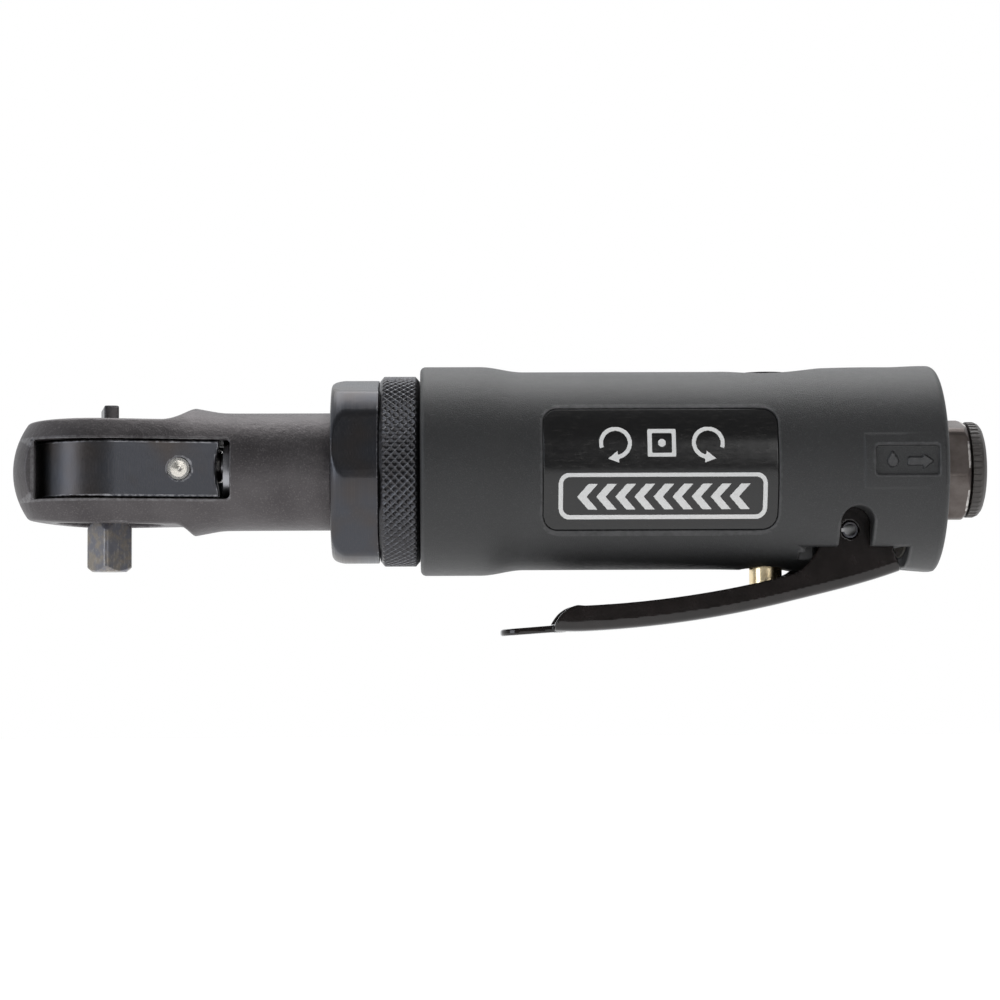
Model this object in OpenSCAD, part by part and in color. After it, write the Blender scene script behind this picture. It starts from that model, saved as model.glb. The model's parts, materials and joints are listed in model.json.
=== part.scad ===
// Lever-throttle air ratchet with a square drive.
// Tool frame: +X from the drive axis to the air inlet, +Z up, the square drive points down.
// All modules are drawn about the tool axis and lifted by axis_h, so that the origin ends up
// at the centre of the square drive's shoulder, where a socket's mouth comes to rest.

/* [Head] */
// Distance from the drive axis to the tip of the head
head_tip = 17.8; // [17.6:0.1:18.4]
// Radius of the head's round end, seen from above
head_r = 15.2; // [15:0.1:15.6]
// Height of the head's upper face above the tool axis
head_h = 9.3; // [9.2:0.05:9.6]
// Depth of the head's lower face below the tool axis
head_low = 9.9; // [9.8:0.05:10.2]
// Half height of the side window
window_h = 5.4; // [5.3:0.05:5.6]
// Where the side window ends, towards the neck
window_end = 23; // [22.5:0.1:23.2]
// Outer radius of the neck
neck_r = 10.95; // [10.8:0.05:11]

/* [Drive] */
// Side of the square drive (a quarter inch)
drive_side = 6.35; // [6.3:0.05:6.4]
// How far the square drive reaches below its shoulder
drive_len = 9.5; // [9:0.1:10]
// Rest angle of the square drive about its axis
drive_turn = 43; // [0:1:89]
// Rest angle of the reversing knob's ridge, from the tool axis
knob_turn = 100; // [90:1:120]
// Throw of the reversing knob between its two positions
knob_throw = 60; // [40:1:60]
// Rocking angle of the pawl between its two positions
pawl_throw = 10; // [6:1:10]

/* [Gears] */
// Module of the planetary gear set
gear_m = 0.55; // [0.53:0.01:0.56]
// Teeth on the rotor's pinion
sun_teeth = 12; // [12:1:12]
// Teeth on each planet
planet_teeth = 15; // [15:1:15]
// Teeth in the ring gear
ring_teeth = 42; // [42:1:42]
// Offset of the crank pin from the tool axis
crank_throw = 1.1; // [0.9:0.05:1.1]

/* [Body] */
// Radius of the front and rear ends of the grip
end_r = 19.5; // [19.3:0.1:19.8]
// Radius of the grip between them
grip_r = 18.5; // [18.4:0.1:18.6]
// Radius of the motor bore
bore_r = 13.95; // [13.9:0.05:14]
// Front face of the grip
body_front = 57.9; // [57.8:0.1:58]
// Rear face of the grip
body_rear = 153.8; // [153:0.1:154.5]

/* [Motor] */
// Radius of the rotor
rotor_r = 10.3; // [10.2:0.05:10.3]
// Offset of the rotor from the liner's bore
rotor_offset = 1.1; // [0.9:0.05:1.1]
// Number of vanes
vane_count = 5; // [4:1:6]

/* [Lever] */
// Distance from the drive axis to the lever's pivot
pivot_x = 136.7; // [136.5:0.1:136.9]
// Depth of the lever's pivot below the tool axis
pivot_z = 11.6; // [11.5:0.1:11.7]
// Half width of the lever outside its side walls
lever_half = 10; // [9.8:0.05:10.1]
// Thickness of the lever's sheet
sheet = 1.3; // [1.2:0.05:1.35]
// Distance from the drive axis to the throttle valve's axis
valve_x = 122.3; // [122:0.1:122.5]
// Radius of the brass valve stem
stem_r = 3.05; // [3:0.05:3.1]

/* [Inlet] */
// Size across the flats of the inlet bushing
inlet_flats = 17.5; // [17:0.1:17.6]
// Radius of the inlet's threaded bore
inlet_r = 5.9; // [5.8:0.05:6]
// Length of the inlet's threaded bore
inlet_len = 11; // [10:0.5:12]
// Outer end of the inlet bushing
inlet_end = 159.6; // [159.4:0.1:160]

/* [Hidden] */
$fn = 48;

gap = 0.05;                         // running clearance between parts that turn in each other
far = 60;                           // longer than any cut needs

// Frame: the square's shoulder, which is the origin's height, lies this far under the tool axis
axis_h = 9;

// Colours
forged = [0.20, 0.195, 0.20];
black_steel = [0.13, 0.13, 0.14];
bright = [0.72, 0.72, 0.74];
steel = [0.55, 0.56, 0.58];
composite = [0.21, 0.215, 0.225];
brass = [0.72, 0.58, 0.32];
rubber = [0.05, 0.05, 0.05];
plastic = [0.20, 0.18, 0.17];
felt = [0.62, 0.60, 0.55];

// Head and drive stack, heights from the tool axis
ring_r = 13.7;                      // outside of the yoke's ring
ring_h = window_h - 0.2;            // half height of the yoke
tail_end = 21;                      // rear end of the yoke's tail
tail_half = 9.3;                    // half width of the tail at its rear end
fork_half = 6.4;                    // half width of the slot that takes the crank's bushing
ratchet_teeth = 40;
tooth_tip_r = 9.75;
tooth_root_r = 10.5;
anvil_r = 9.5;
flange_r = 9.95;
journal_r = 6;
knob_shaft_r = 3.45;
knob_disc_r = 6.8;
pawl_pivot = 7.2;
drive_z = -axis_h - drive_len;      // lower end of the square
ball_z = drive_z + 3.2;             // height of the socket ball
ball_x = head_r - head_tip;         // centre of the ball at the head's tip
cone_end = 21;                      // where the head has narrowed to the neck
face_crown = [0.25, 0.85];          // how far the upper and lower face fall away towards the tip
cutter_x = [10.2, 12.6];            // where the cutter that milled each face turns out of the blank
cutter_r = [6.1, 2.33];             // radius of its way out
face_end = 18;                      // where it has left the blank
web_half = 9.6;                     // half width of the web at the tip of the head
web_in = 15.8;                      // inner radius of that web
circlip_z = -8.5;
wear_pin_x = 13.8;
fork_x = 17.9;                      // centre of the fork's round bottom

// Crank and bearing
crank_r = 5;
crank_web = [21.6, 24];
pin_r = 2.45;
bushing_r = 3.6;
bearing_x = [27, 37];
cup_r = 8;
flange_x = [43.8, 46.6];
carrier_x = [47.2, 50.2];
gear_x = [50.5, 56.4];
planet_orbit = gear_m * (sun_teeth + planet_teeth) / 2;
pressure = 25;
addendum = 0.8;
dedendum = 1.05;
backlash = 0.05;

// Nuts
nut_x = [41.5, 50.3];
nut_r = 17.35;
nut_flats = 32.6;
nut_turn = 15;
lock_x = [50.45, 57.8];
lock_r = 17.8;
thread_r = 15.2;                    // outside of the body's threaded nose

// Motor
front_plate = [58, 64];
liner_x = [64, 106];
rear_plate = [106, 112];
shaft_r = 4.5;
race_r = 8.5;
track_r = 6.5;                      // circle of the ball centres
race_w = 5;
gasket = 0.4;                       // thickness of the gasket behind the rear plate
front_race = 58.6;
rear_race = 106.4;

// Valve
chamber_r = 5.2;
seat_z = -6;
plug_top = 18.1;
spring_z = [-4.2, 9.6];
dish_z = 17.8;

// Lever: a pressed channel bent to a long arc about a centre above the tool, with a flat tongue
arc_r = 192.2;
arc_x = 80.2;
arc_z = 162.3;
tail_x = 72.7;
bend_x = 82.4;
lever_rear = 146.1;
wall_h = 4.7;
fold_r = 1.8;                       // outside radius of the channel's folds
slot_in = lever_half - sheet - 0.3; // the body's slots take one ear each, with room on both sides
slot_out = lever_half + 0.3;
slot_x = [127.4, 145.5];            // they leave room for the ear to swing forward
tongue_half = 7;
function lever_z(x) = arc_z - sqrt(arc_r * arc_r - pow(x - arc_x, 2));
function lever_turn(x) = -acos((x - arc_x) / arc_r);

// Inlet
inlet_thread_r = 8.2;
mouth_r = 6.9;
mouth_len = 3.4;
passage_r = 5.3;                    // air passage behind the thread
screen_r = 5.6;
inlet_turn = 15.5;
plug_r = 8.97;
plug_x = [160, 162.8];

// ---- Helpers ----

module tool() translate([0, 0, axis_h]) children();

// A cylinder along X from x[0] to x[1]
module x_cyl(x, r) translate([x[0], 0, 0]) rotate([0, 90, 0]) cylinder(h = x[1] - x[0], r = r);

// A tube along X
module x_tube(x, r_out, r_in) difference() {
    x_cyl(x, r_out);
    x_cyl([x[0] - 1, x[1] + 1], r_in);
}

// A solid of revolution about X from points [x, r]
module x_revolve(points) rotate([0, 90, 0]) rotate_extrude() polygon([for (p = points) [p[1], p[0]]]);

// A cylinder along Z from z[0] to z[1]
module z_cyl(z, r) translate([0, 0, z[0]]) cylinder(h = z[1] - z[0], r = r);

module z_tube(z, r_out, r_in) difference() {
    z_cyl(z, r_out);
    z_cyl([z[0] - 1, z[1] + 1], r_in);
}

// A cylinder along Y, half on each side
module y_cyl(half, r) rotate([90, 0, 0]) cylinder(h = 2 * half, r = r, center = true);

// A shape drawn in X and Z, made thick along Y on both sides of the axis plane
module side_slab(half) rotate([90, 0, 0]) linear_extrude(height = 2 * half, center = true) children();

// A box from its low corner to its high corner
module span(lo, hi) translate(lo) cube([for (i = [0:2]) hi[i] - lo[i]]);

// Points on an arc
function arc(c, r, a0, a1, n = 10) = [for (i = [0:n]) let (a = a0 + (a1 - a0) * i / n)
    [c[0] + r * cos(a), c[1] + r * sin(a)]];

// A smooth step between two values
function ease(a, b, t) = a + (b - a) * t * t * (3 - 2 * t);

// A hexagon with its corners turned round to radius r, along X
module x_hex(x, flats, r) intersection() {
    x_cyl(x, r);
    translate([x[0], 0, 0]) rotate([0, 90, 0]) cylinder(h = x[1] - x[0], r = flats / sqrt(3), $fn = 6);
}

// Involute gear outline. The tooth at angle 0 is centred on the first axis.
function inv_deg(rb, r) = r <= rb ? 0 : let (a = acos(rb / r)) tan(a) * 180 / PI - a;
function flank(teeth, m, r, play) = let (rp = m * teeth / 2, rb = rp * cos(pressure))
    90 / teeth - play / rp * 90 / PI + inv_deg(rb, rp) - inv_deg(rb, r);
function gear_points(teeth, m, r_root, r_tip, play) = [for (t = [0:teeth - 1])
    let (c = 360 * t / teeth, steps = 4)
    for (k = [-steps - 1:steps + 1]) let (
        i = abs(k) - 1,
        r = k == 0 ? r_tip : r_root + (r_tip - r_root) * (steps - i) / steps,
        a = (k == 0 ? 0 : flank(teeth, m, r, play)) * sign(k))
        if (k != 0) [r * cos(c + a), r * sin(c + a)]];

// A ring with internal ratchet teeth or none
function tooth_ring(teeth, r_tip, r_root) = [for (t = [0:teeth - 1]) for (p = [0:3])
    let (a = 360 * (t + [0.05, 0.45, 0.6, 0.9][p]) / teeth, r = p < 2 ? r_root : r_tip)
    [r * cos(a), r * sin(a)]];

// A coil spring along Z: one swept tube with flat ends
module coil(z, r, wire, turns, sides = 8, steps = 16) {
    n = turns * steps;
    points = [for (i = [0:n]) for (k = [0:sides - 1])
        let (a = 360 * i / steps, b = 360 * k / sides,
            rr = r + wire * cos(b),
            zz = z[0] + wire + (z[1] - z[0] - 2 * wire) * i / n + wire * sin(b))
        [rr * cos(a), rr * sin(a), zz]];
    faces = concat(
        [for (i = [0:n - 1]) for (k = [0:sides - 1]) let (j = (k + 1) % sides)
            [i * sides + k, i * sides + j, (i + 1) * sides + j, (i + 1) * sides + k]],
        [[for (k = [sides - 1:-1:0]) k]],
        [[for (k = [0:sides - 1]) n * sides + k]]);
    polyhedron(points = points, faces = [for (f = faces) [for (i = [len(f) - 1:-1:0]) f[i]]]);
}

// A round end with a tapering tail: the tail's sides leave the circle almost along it
function leave_at(c, r, p) = let (d = norm([p[0] - c, p[1]]), a = atan2(p[1], p[0] - c) + acos(r / d) + 5)
    [c + (r - 0.08) * cos(a), (r - 0.08) * sin(a)];
module keyhole(c, r, end, half, height) {
    t = leave_at(c, r, [end, half]);
    translate([c, 0, 0]) z_cyl([-height, height], r);
    linear_extrude(height = 2 * height, center = true)
        polygon([[c, 0], t, [end, half], [end, -half], [t[0], -t[1]]]);
}

// A rectangle with round corners
module rounded(lo, hi, r) {
    translate([lo[0] + r, lo[1]]) square([hi[0] - lo[0] - 2 * r, hi[1] - lo[1]]);
    translate([lo[0], lo[1] + r]) square([hi[0] - lo[0], hi[1] - lo[1] - 2 * r]);
    for (x = [lo[0] + r, hi[0] - r]) for (y = [lo[1] + r, hi[1] - r]) translate([x, y]) circle(r = r);
}

// ---- Ratchet head ----

// Height of a milled face: slightly crowned, and the cutter runs out where the neck swells
function face_h(x, h, side) = h - face_crown[side] * pow(max(0, -x) / 14, 2)
    + pow(max(0, x - cutter_x[side]), 2) / 2 / cutter_r[side];

// The forged blank: a ball at the tip, tangent to a cone that narrows to the round neck
module head_blank() {
    d = norm([cone_end - ball_x, neck_r]);
    fall = 90 - atan2(neck_r, cone_end - ball_x) - acos(head_r / d);
    x_revolve(concat(arc([ball_x, 0], head_r, 180, 90 - fall, 22),
        [[cone_end, neck_r], [cone_end + 4, neck_r], [cone_end + 4, 0]]));
}

module ratchet_housing() tool() color(forged) difference() {
    union() {
        intersection() {
            head_blank();
            // the two milled faces
            side_slab(20) polygon(concat(
                [for (x = [-19:0.5:face_end]) [x, face_h(x, head_h, 0)]],
                [[cone_end + 5, 15], [cone_end + 5, -15]],
                [for (x = [face_end:-0.5:-19]) [x, -face_h(x, head_low, 1)]]));
        }
        x_cyl([cone_end + 2, flange_x[0] + 1], neck_r);
        x_cyl(flange_x, thread_r - 0.1);
    }
    // the yoke's chamber and the two side windows, which leave a web at the tip
    z_cyl([-window_h, window_h], web_in);
    difference() {
        side_slab(20) rounded([-17.2, -window_h], [window_end, window_h], 0.8);
        span([-30, -web_half, -20], [-5, web_half, 20]);
    }
    // drive bores: the flange and circlip go in from below, the knob from above
    z_cyl([-far, 0], flange_r + gap);
    z_cyl([circlip_z - 0.35, circlip_z + 0.35], 10.6);
    z_cyl([0, far], journal_r + gap);
    z_cyl([8, far], knob_disc_r + 0.3);
    // crankshaft, bearing and its seat
    x_cyl([crank_web[0] - 0.3, bearing_x[1]], cup_r);
    x_cyl([bearing_x[1] - 1, flange_x[1] + 1], crank_r + 0.6);
}

module retaining_ring() tool() color(steel) difference() {
    z_tube([circlip_z - 0.3, circlip_z + 0.3], 10.5, 8.3);
    // the gap between the two eyes
    rotate(200) span([0, -1.6, -far], [far, 1.6, far]);
}

module thrust_washer() tool() color(steel) z_tube([-8.15, -7.75], 9.9, 5.4);

module friction_washer() tool() color(steel) z_tube([5.25, 5.38], 8.8, journal_r + gap);

module crank_bearing_cup() tool() color(steel) {
    difference() {
        x_cyl(bearing_x, cup_r);
        x_cyl([bearing_x[0] - 1, bearing_x[1] + 1], 7.2);
    }
}

module crank_bearing_rollers() tool() color(bright)
    for (i = [0:13]) rotate([360 / 14 * i, 0, 0]) translate([0, 0, 6.12])
        x_cyl([bearing_x[0] + 0.5, bearing_x[1] - 0.5], 1.05);

// ---- Yoke ----

module ratchet_yoke() tool() color(black_steel) difference() {
    keyhole(0, ring_r, tail_end, tail_half, ring_h);
    // internal teeth
    linear_extrude(height = far, center = true)
        polygon(tooth_ring(ratchet_teeth, tooth_tip_r, tooth_root_r));
    // the fork for the crank's bushing, with a round bottom
    span([fork_x, -fork_half, -far], [far, fork_half, far]);
    translate([fork_x, 0, 0]) z_cyl([-far, far], fork_half);
    // hollowed rear end, clear of the crank's web
    translate([tail_end + 13.4, 0, 0]) y_cyl(far, 14);
    // seats of the wear pins
    translate([wear_pin_x, 0, 0]) y_cyl(far, 2);
}

module yoke_wear_pins() tool() color(bright)
    for (s = [-1, 1]) translate([wear_pin_x, 0, 0]) rotate([-90 * s, 0, 0]) difference() {
        z_cyl([fork_half - 0.3, 10.8], 1.99);
        // centre-drilled end
        translate([0, 0, 9.3]) cylinder(h = 1.6, r1 = 0.25, r2 = 1.6);
        translate([0, 0, 8.4]) cylinder(h = 1.2, r = 0.3);
    }

// ---- Drive anvil ----

// The wedge-shaped pocket for the pawl, about the local +X axis
module pawl_pocket() linear_extrude(height = 8.2, center = true)
    polygon([[0, 0], [3.2, 5.2], [13, 12], [13, -12], [3.2, -5.2]]);

// A square with its corners cut
module cut_square(h, cut) polygon([for (q = [0:90:270]) for (c = [0, 1])
    let (x = h - cut * c, y = h - cut * (1 - c)) [x * cos(q) - y * sin(q), x * sin(q) + y * cos(q)]]);

module drive_anvil() tool() rotate(drive_turn) color(black_steel) difference() {
    union() {
        z_cyl([-5.6, 5.2], anvil_r);
        z_cyl([-7.7, -5.5], flange_r);
        z_cyl([5.1, 7.6], journal_r);
        z_cyl([-axis_h, -7.6], 4.9);
        z_cyl([-axis_h - 0.4, -axis_h + 0.1], 3.2);
        // the square, its corners broken, coned at both ends
        intersection() {
            translate([0, 0, drive_z]) linear_extrude(height = drive_len)
                cut_square(drive_side / 2, 0.52);
            rotate_extrude() polygon([[0, drive_z], [3.15, drive_z], [4.5, drive_z + 1.05],
                [4.5, -axis_h - 2], [3.2, -axis_h], [0, -axis_h]]);
        }
    }
    // pocket, knob shaft and pawl pin
    pawl_pocket();
    z_cyl([-4.1, far], knob_shaft_r + gap);
    translate([pawl_pivot, 0, 0]) z_cyl([-5.25, far], 1);
    // socket ball and its spring
    translate([0, 0, ball_z]) rotate([0, 90, 0]) z_cyl([0.3, far], 1.15);
}

module socket_ball() tool() rotate(drive_turn) color(bright)
    translate([2.62, 0, ball_z]) sphere(r = 1.1);

module socket_ball_spring() tool() rotate(drive_turn) color(steel)
    translate([0, 0, ball_z]) rotate([0, 90, 0]) coil([0.35, 1.45], 0.65, 0.16, 2.5, 6, 12);

module pawl_pin() tool() rotate(drive_turn) color(steel)
    translate([pawl_pivot, 0, 0]) z_cyl([-5.15, 5.15], 0.98);

// The rocking pawl. Its two ends never leave the anvil's circle by more than the throw.
module pawl() tool() rotate(drive_turn) color(steel) translate([pawl_pivot, 0, 0]) rotate(pawl_throw / 2)
    translate([-pawl_pivot, 0, 0]) difference() {
        linear_extrude(height = 7.8, center = true) polygon(concat(arc([0, 0], 5.5, -30, 30, 8),
            arc([0, 0], 8.9, 34, 5, 5), [[8.3, 0]], arc([0, 0], 8.9, -5, -34, 5)));
        translate([pawl_pivot, 0, 0]) z_cyl([-far, far], 1.03);
    }

module reverse_knob() tool() color(black_steel) difference() {
    union() {
        z_cyl([8.1, 9.1], knob_disc_r);
        rotate(drive_turn) z_cyl([-4, 8.2], knob_shaft_r);
        // the finger ridge
        rotate(knob_turn) intersection() {
            span([-6, -1.35, 9], [6, 1.35, 12.1]);
            z_cyl([8.9, 13], 5.9);
        }
    }
    // the plunger's bore, which turns with the knob
    rotate(drive_turn - knob_throw / 2) rotate([0, 90, 0]) z_cyl([-1.2, far], 1.2);
}

module pawl_plunger() tool() rotate(drive_turn - knob_throw / 2) color(bright) rotate([0, 90, 0]) {
    z_cyl([1.8, 4.3], 1.15);
    translate([0, 0, 4.3 - 0.5]) sphere(r = 0.95);
}

module plunger_spring() tool() rotate(drive_turn - knob_throw / 2) color(steel)
    rotate([0, 90, 0]) coil([-1.1, 1.7], 0.8, 0.16, 4, 6, 12);

// ---- Crank and planetary gears ----

module crankshaft() tool() color(steel) difference() {
    union() {
        translate([0, 0, crank_throw]) x_cyl([13.2, crank_web[0] + 0.5], pin_r);
        x_cyl(crank_web, 7.4);
        x_cyl([crank_web[1] - 0.5, carrier_x[0] + 0.5], crank_r);
        x_cyl(carrier_x, 11.2);
    }
    for (i = [0:2]) rotate([120 * i + 180, 0, 0]) translate([0, 0, planet_orbit])
        x_cyl([carrier_x[0] - 1, carrier_x[1] + 1], 1.5);
    // centre drilling
    x_cyl([carrier_x[1] - 2, far], 1);
}

module planet_pins() tool() color(bright)
    for (i = [0:2]) rotate([120 * i + 180, 0, 0]) translate([0, 0, planet_orbit])
        x_cyl([carrier_x[0] + 0.2, gear_x[1] + 0.2], 1.49);

module drive_bushing() tool() color(bright) translate([0, 0, crank_throw])
    x_revolve([[13.6, pin_r + gap], [13.6, bushing_r - 0.7], [15, bushing_r - 0.2], [16.4, bushing_r],
        [18.1, bushing_r], [19.5, bushing_r - 0.2], [20.9, bushing_r - 0.7], [20.9, pin_r + gap]]);

// One gear along X with a tooth centred on the downward direction
module x_gear(teeth, play, longer = 0) translate([gear_x[0], 0, 0]) rotate([0, 90, 0])
    linear_extrude(height = gear_x[1] - gear_x[0] + longer) polygon(gear_points(teeth, gear_m,
        gear_m * (teeth / 2 - dedendum), gear_m * (teeth / 2 + addendum), play));

module planet_gear(i) tool() color(steel) rotate([120 * i, 0, 0]) translate([0, 0, -planet_orbit]) {
    difference() {
        x_gear(planet_teeth, backlash);
        x_cyl([gear_x[0] - 1, gear_x[1] + 1], 1.53);
    }
}
module planet_gear_1() planet_gear(0);
module planet_gear_2() planet_gear(1);
module planet_gear_3() planet_gear(2);

module ring_gear() tool() color(steel) difference() {
    x_cyl([flange_x[1], front_plate[0]], bore_r - gap);
    x_cyl([flange_x[1] - 1, gear_x[0] - 0.2], 11.5);
    translate([gear_x[0] - 1, 0, 0]) rotate([0, 90, 0]) linear_extrude(height = far)
        polygon(gear_points(ring_teeth, gear_m, gear_m * (ring_teeth / 2 - addendum),
            gear_m * (ring_teeth / 2 + dedendum), -backlash));
}

module carrier_washer() tool() color(brass)
    x_tube([flange_x[1] + 0.05, carrier_x[0] - 0.1], 10, crank_r + gap);

// ---- Clamp nut and lock ring ----

module clamp_nut() tool() color(black_steel) difference() {
    rotate([-nut_turn, 0, 0]) intersection() {
        x_hex(nut_x, nut_flats, nut_r);
        // the front end's round chamfer
        x_revolve([[nut_x[0], 0], [nut_x[0], 15.9], [nut_x[0] + 0.5, 16.6], [nut_x[0] + 1.6, 17.1],
            [nut_x[0] + 2.6, nut_r + 0.1], [nut_x[1], nut_r + 0.1], [nut_x[1], 0]]);
    }
    x_cyl([nut_x[0] - 1, nut_x[1] + 1], neck_r + 0.1);
    x_cyl([flange_x[0] - gap, nut_x[1] + 1], thread_r + gap);
}

module knurled_lock_ring() tool() color(black_steel) difference() {
    x_revolve([[lock_x[0], 0], [lock_x[0], lock_r - 1], [lock_x[0] + 0.8, lock_r - 0.2],
        [lock_x[1] - 0.8, lock_r - 0.2], [lock_x[1], lock_r - 1], [lock_x[1], 0]]);
    x_cyl([lock_x[0] - 1, lock_x[1] + 1], thread_r + gap);
}

// ---- Body ----

// The grip's half outline from front to rear
function body_outline() = concat(
    [[body_front, 0], [body_front, end_r - 1]],
    arc([body_front + 1, end_r - 1], 1, 180, 90, 5),
    [for (i = [0:8]) [69 + i, ease(end_r, grip_r, i / 8)]],
    [for (i = [0:8]) [110 + i * 4, ease(grip_r, grip_r + 0.8, i / 8)]],
    [for (i = [0:4]) [145 + i * 1.6, ease(grip_r + 0.8, end_r, i / 4)]],
    arc([body_rear - 1.4, end_r - 1.4], 1.4, 90, 0, 6),
    [[body_rear, 0]]);

// The name plate's outline, seen from the side
module plate_zone(grow) rotate([90, 0, 0]) linear_extrude(height = 30)
    rounded([80.2 - grow, -11.6 - grow], [122.7 + grow, 10.2 + grow], 2.6 + grow);

// The oil mark: a drop and an arrow that points to the inlet, raised from a sunk panel
module oil_mark() {
    translate([143.3, 0.35]) circle(r = 0.95);
    polygon([[142.5, 0.85], [144.1, 0.85], [143.3, 2.5]]);
    translate([146, -0.35]) square([3, 1.5]);
    polygon([[148.8, -1], [150.7, 0.4], [148.8, 1.8]]);
}

module motor_housing() tool() color(composite) difference() {
    union() {
        x_revolve(body_outline());
        // the threaded nose inside the lock ring and the clamp nut
        x_cyl([flange_x[1] + 0.1, body_front + 1], thread_r);
        // the raised pad of the oil mark
        intersection() {
            x_revolve([[137.5, 0], [137.5, grip_r], [138.4, end_r], [body_rear - 1, end_r],
                [body_rear - 0.3, end_r - 0.5], [body_rear - 0.3, 0]]);
            span([136, -25, -4.4], [body_rear, -10, 5.4]);
        }
    }
    // motor bore and the exhaust groove beside the liner
    x_cyl([flange_x[1] - 1, rear_plate[1] + gasket], bore_r);
    intersection() {
        x_cyl([70, rear_plate[1]], bore_r + 1.2);
        span([60, -9.5, 2], [rear_plate[1] + 1, 9.5, 20]);
    }
    // exhaust ducts past the valve to the rear recess, and the air duct from valve to motor
    for (s = [-1, 1]) translate([0, 9.3 * s, 7]) x_cyl([rear_plate[1] - 1, 148], 2.3);
    translate([0, 0, 2]) x_cyl([rear_plate[1] - 1, valve_x], 2.6);
    // throttle valve: bushing seat, chamber, plug and the dish round the plug
    translate([valve_x, 0, 0]) {
        z_cyl([-far, seat_z + 0.1], 4.6);
        z_cyl([seat_z, far], chamber_r);
        translate([0, 0, dish_z]) cylinder(h = 3, r1 = 5.4, r2 = 15.6);
    }
    // inlet bushing's seat, the cross bore to the valve and the rear recess
    x_cyl([valve_x + 2, inlet_end], 4);
    x_cyl([134, inlet_end], inlet_thread_r + gap);
    difference() {
        x_cyl([147, inlet_end], 16.6);
        x_cyl([146, 151], 10.6);
    }
    // flat under the lever, with a curved front wall round the valve
    difference() {
        span([118, -20, -30], [147.3, 20, -14.7]);
        translate([116.4, 0, 0]) z_cyl([-far, 0], 16);
    }
    // slots for the lever's ears and the notches that show the pin
    for (s = [-1, 1]) {
        span([slot_x[0], s > 0 ? slot_in : -slot_out, -30], [slot_x[1], s > 0 ? slot_out : -slot_in, -5.9]);
        translate([137.3, 15.5 * s, 0]) {
            span([-3, -5, -30], [3, 5, -10.5]);
            translate([0, 0, -10.5]) y_cyl(5, 3);
        }
    }
    // underside that rises from the rear edge towards the lever
    side_slab(20) polygon([[143, -18.1], [body_rear + 1, -19.3], [body_rear + 1, -25], [143, -25]]);
    // lever pin, name plate and the sunk panel of the oil mark
    translate([pivot_x, 0, -pivot_z]) y_cyl(slot_in + 0.1, 1.5);
    difference() {
        plate_zone(0.1);
        x_cyl([70, 130], grip_r - 0.3);
    }
    rotate([90, 0, 0]) difference() {
        translate([0, 0, end_r - 0.75]) linear_extrude(height = 5) rounded([140.3, -2], [151.7, 3.3], 0.5);
        translate([0, 0, end_r - 1]) linear_extrude(height = 0.5) translate([0, 0.1]) oil_mark();
    }
}

module name_plate() tool() color(black_steel) intersection() {
    x_tube([79, 124], grip_r, grip_r - 0.28);
    plate_zone(0);
}

// ---- Air motor ----

// The groove that the balls run in
module ball_track(x) translate([x + race_w / 2, 0, 0]) rotate([0, 90, 0])
    rotate_extrude() translate([track_r, 0]) circle(r = 1.35);
module bearing_outer(x) difference() {
    x_cyl([x, x + race_w], race_r);
    x_cyl([x - 1, x + race_w + 1], 7.5);
    ball_track(x);
}
module bearing_inner(x) difference() {
    x_cyl([x, x + race_w], 5.5);
    x_cyl([x - 1, x + race_w + 1], shaft_r);
    ball_track(x);
}
module bearing_balls(x) for (i = [0:8]) rotate([40 * i, 0, 0])
    translate([x + race_w / 2, 0, track_r]) sphere(r = 1.3);

module front_bearing_outer() tool() color(steel) bearing_outer(front_race);
module front_bearing_inner() tool() color(steel) bearing_inner(front_race);
module front_bearing_balls() tool() color(bright) bearing_balls(front_race);
module rear_bearing_outer() tool() color(steel) bearing_outer(rear_race);
module rear_bearing_inner() tool() color(steel) bearing_inner(rear_race);
module rear_bearing_balls() tool() color(bright) bearing_balls(rear_race);

module front_end_plate() tool() color(steel) difference() {
    x_cyl(front_plate, bore_r - gap);
    x_cyl([front_race, front_race + race_w], race_r);
    x_cyl([front_plate[0] - 1, front_race + 1], 7);
    x_cyl([front_plate[0] - 1, front_plate[1] + 1], shaft_r + 0.4);
    translate([0, 0, 12.6]) x_cyl([front_plate[1] - 2, front_plate[1] + 1], 0.8);
}

module rear_end_plate() tool() color(steel) difference() {
    x_cyl(rear_plate, bore_r - gap);
    x_cyl([rear_race, rear_race + race_w], race_r);
    x_cyl([rear_plate[0] - 1, rear_plate[0] + 1], shaft_r + 0.4);
    x_cyl([rear_race + race_w - 1, rear_plate[1] + 1], 6.5);
    // air ports to the vanes
    for (a = [200, 225, 250]) rotate([a, 0, 0]) translate([0, 0, 10.2])
        x_cyl([rear_plate[0] - 1, rear_plate[1] + 1], 1.2);
    translate([0, 0, 12.6]) x_cyl([rear_plate[0] - 1, rear_plate[0] + 2], 0.8);
}

module cylinder_liner() tool() color(steel) difference() {
    x_cyl(liner_x, bore_r - gap);
    translate([0, 0, -rotor_offset]) x_cyl([liner_x[0] - 1, liner_x[1] + 1], rotor_r + rotor_offset + 0.1);
    // exhaust slots and dowel holes
    for (x = [73, 81, 89, 97]) translate([x, 0, 0]) rotate([-38, 0, 0]) z_cyl([0, far], 1.8);
    translate([0, 0, 12.6]) {
        x_cyl([liner_x[0] - 1, liner_x[0] + 2], 0.8);
        x_cyl([liner_x[1] - 2, liner_x[1] + 1], 0.8);
    }
}

module liner_dowel() tool() color(bright) translate([0, 0, 12.6]) {
    x_cyl([front_plate[1] - 1.9, liner_x[0] + 1.9], 0.78);
    x_cyl([liner_x[1] - 1.9, rear_plate[0] + 1.9], 0.78);
}

module vane_slots(w, r_in, r_out, x) for (i = [0:vane_count - 1]) rotate([360 / vane_count * i, 0, 0])
    span([x[0], -w / 2, r_in], [x[1], w / 2, r_out]);

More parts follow.
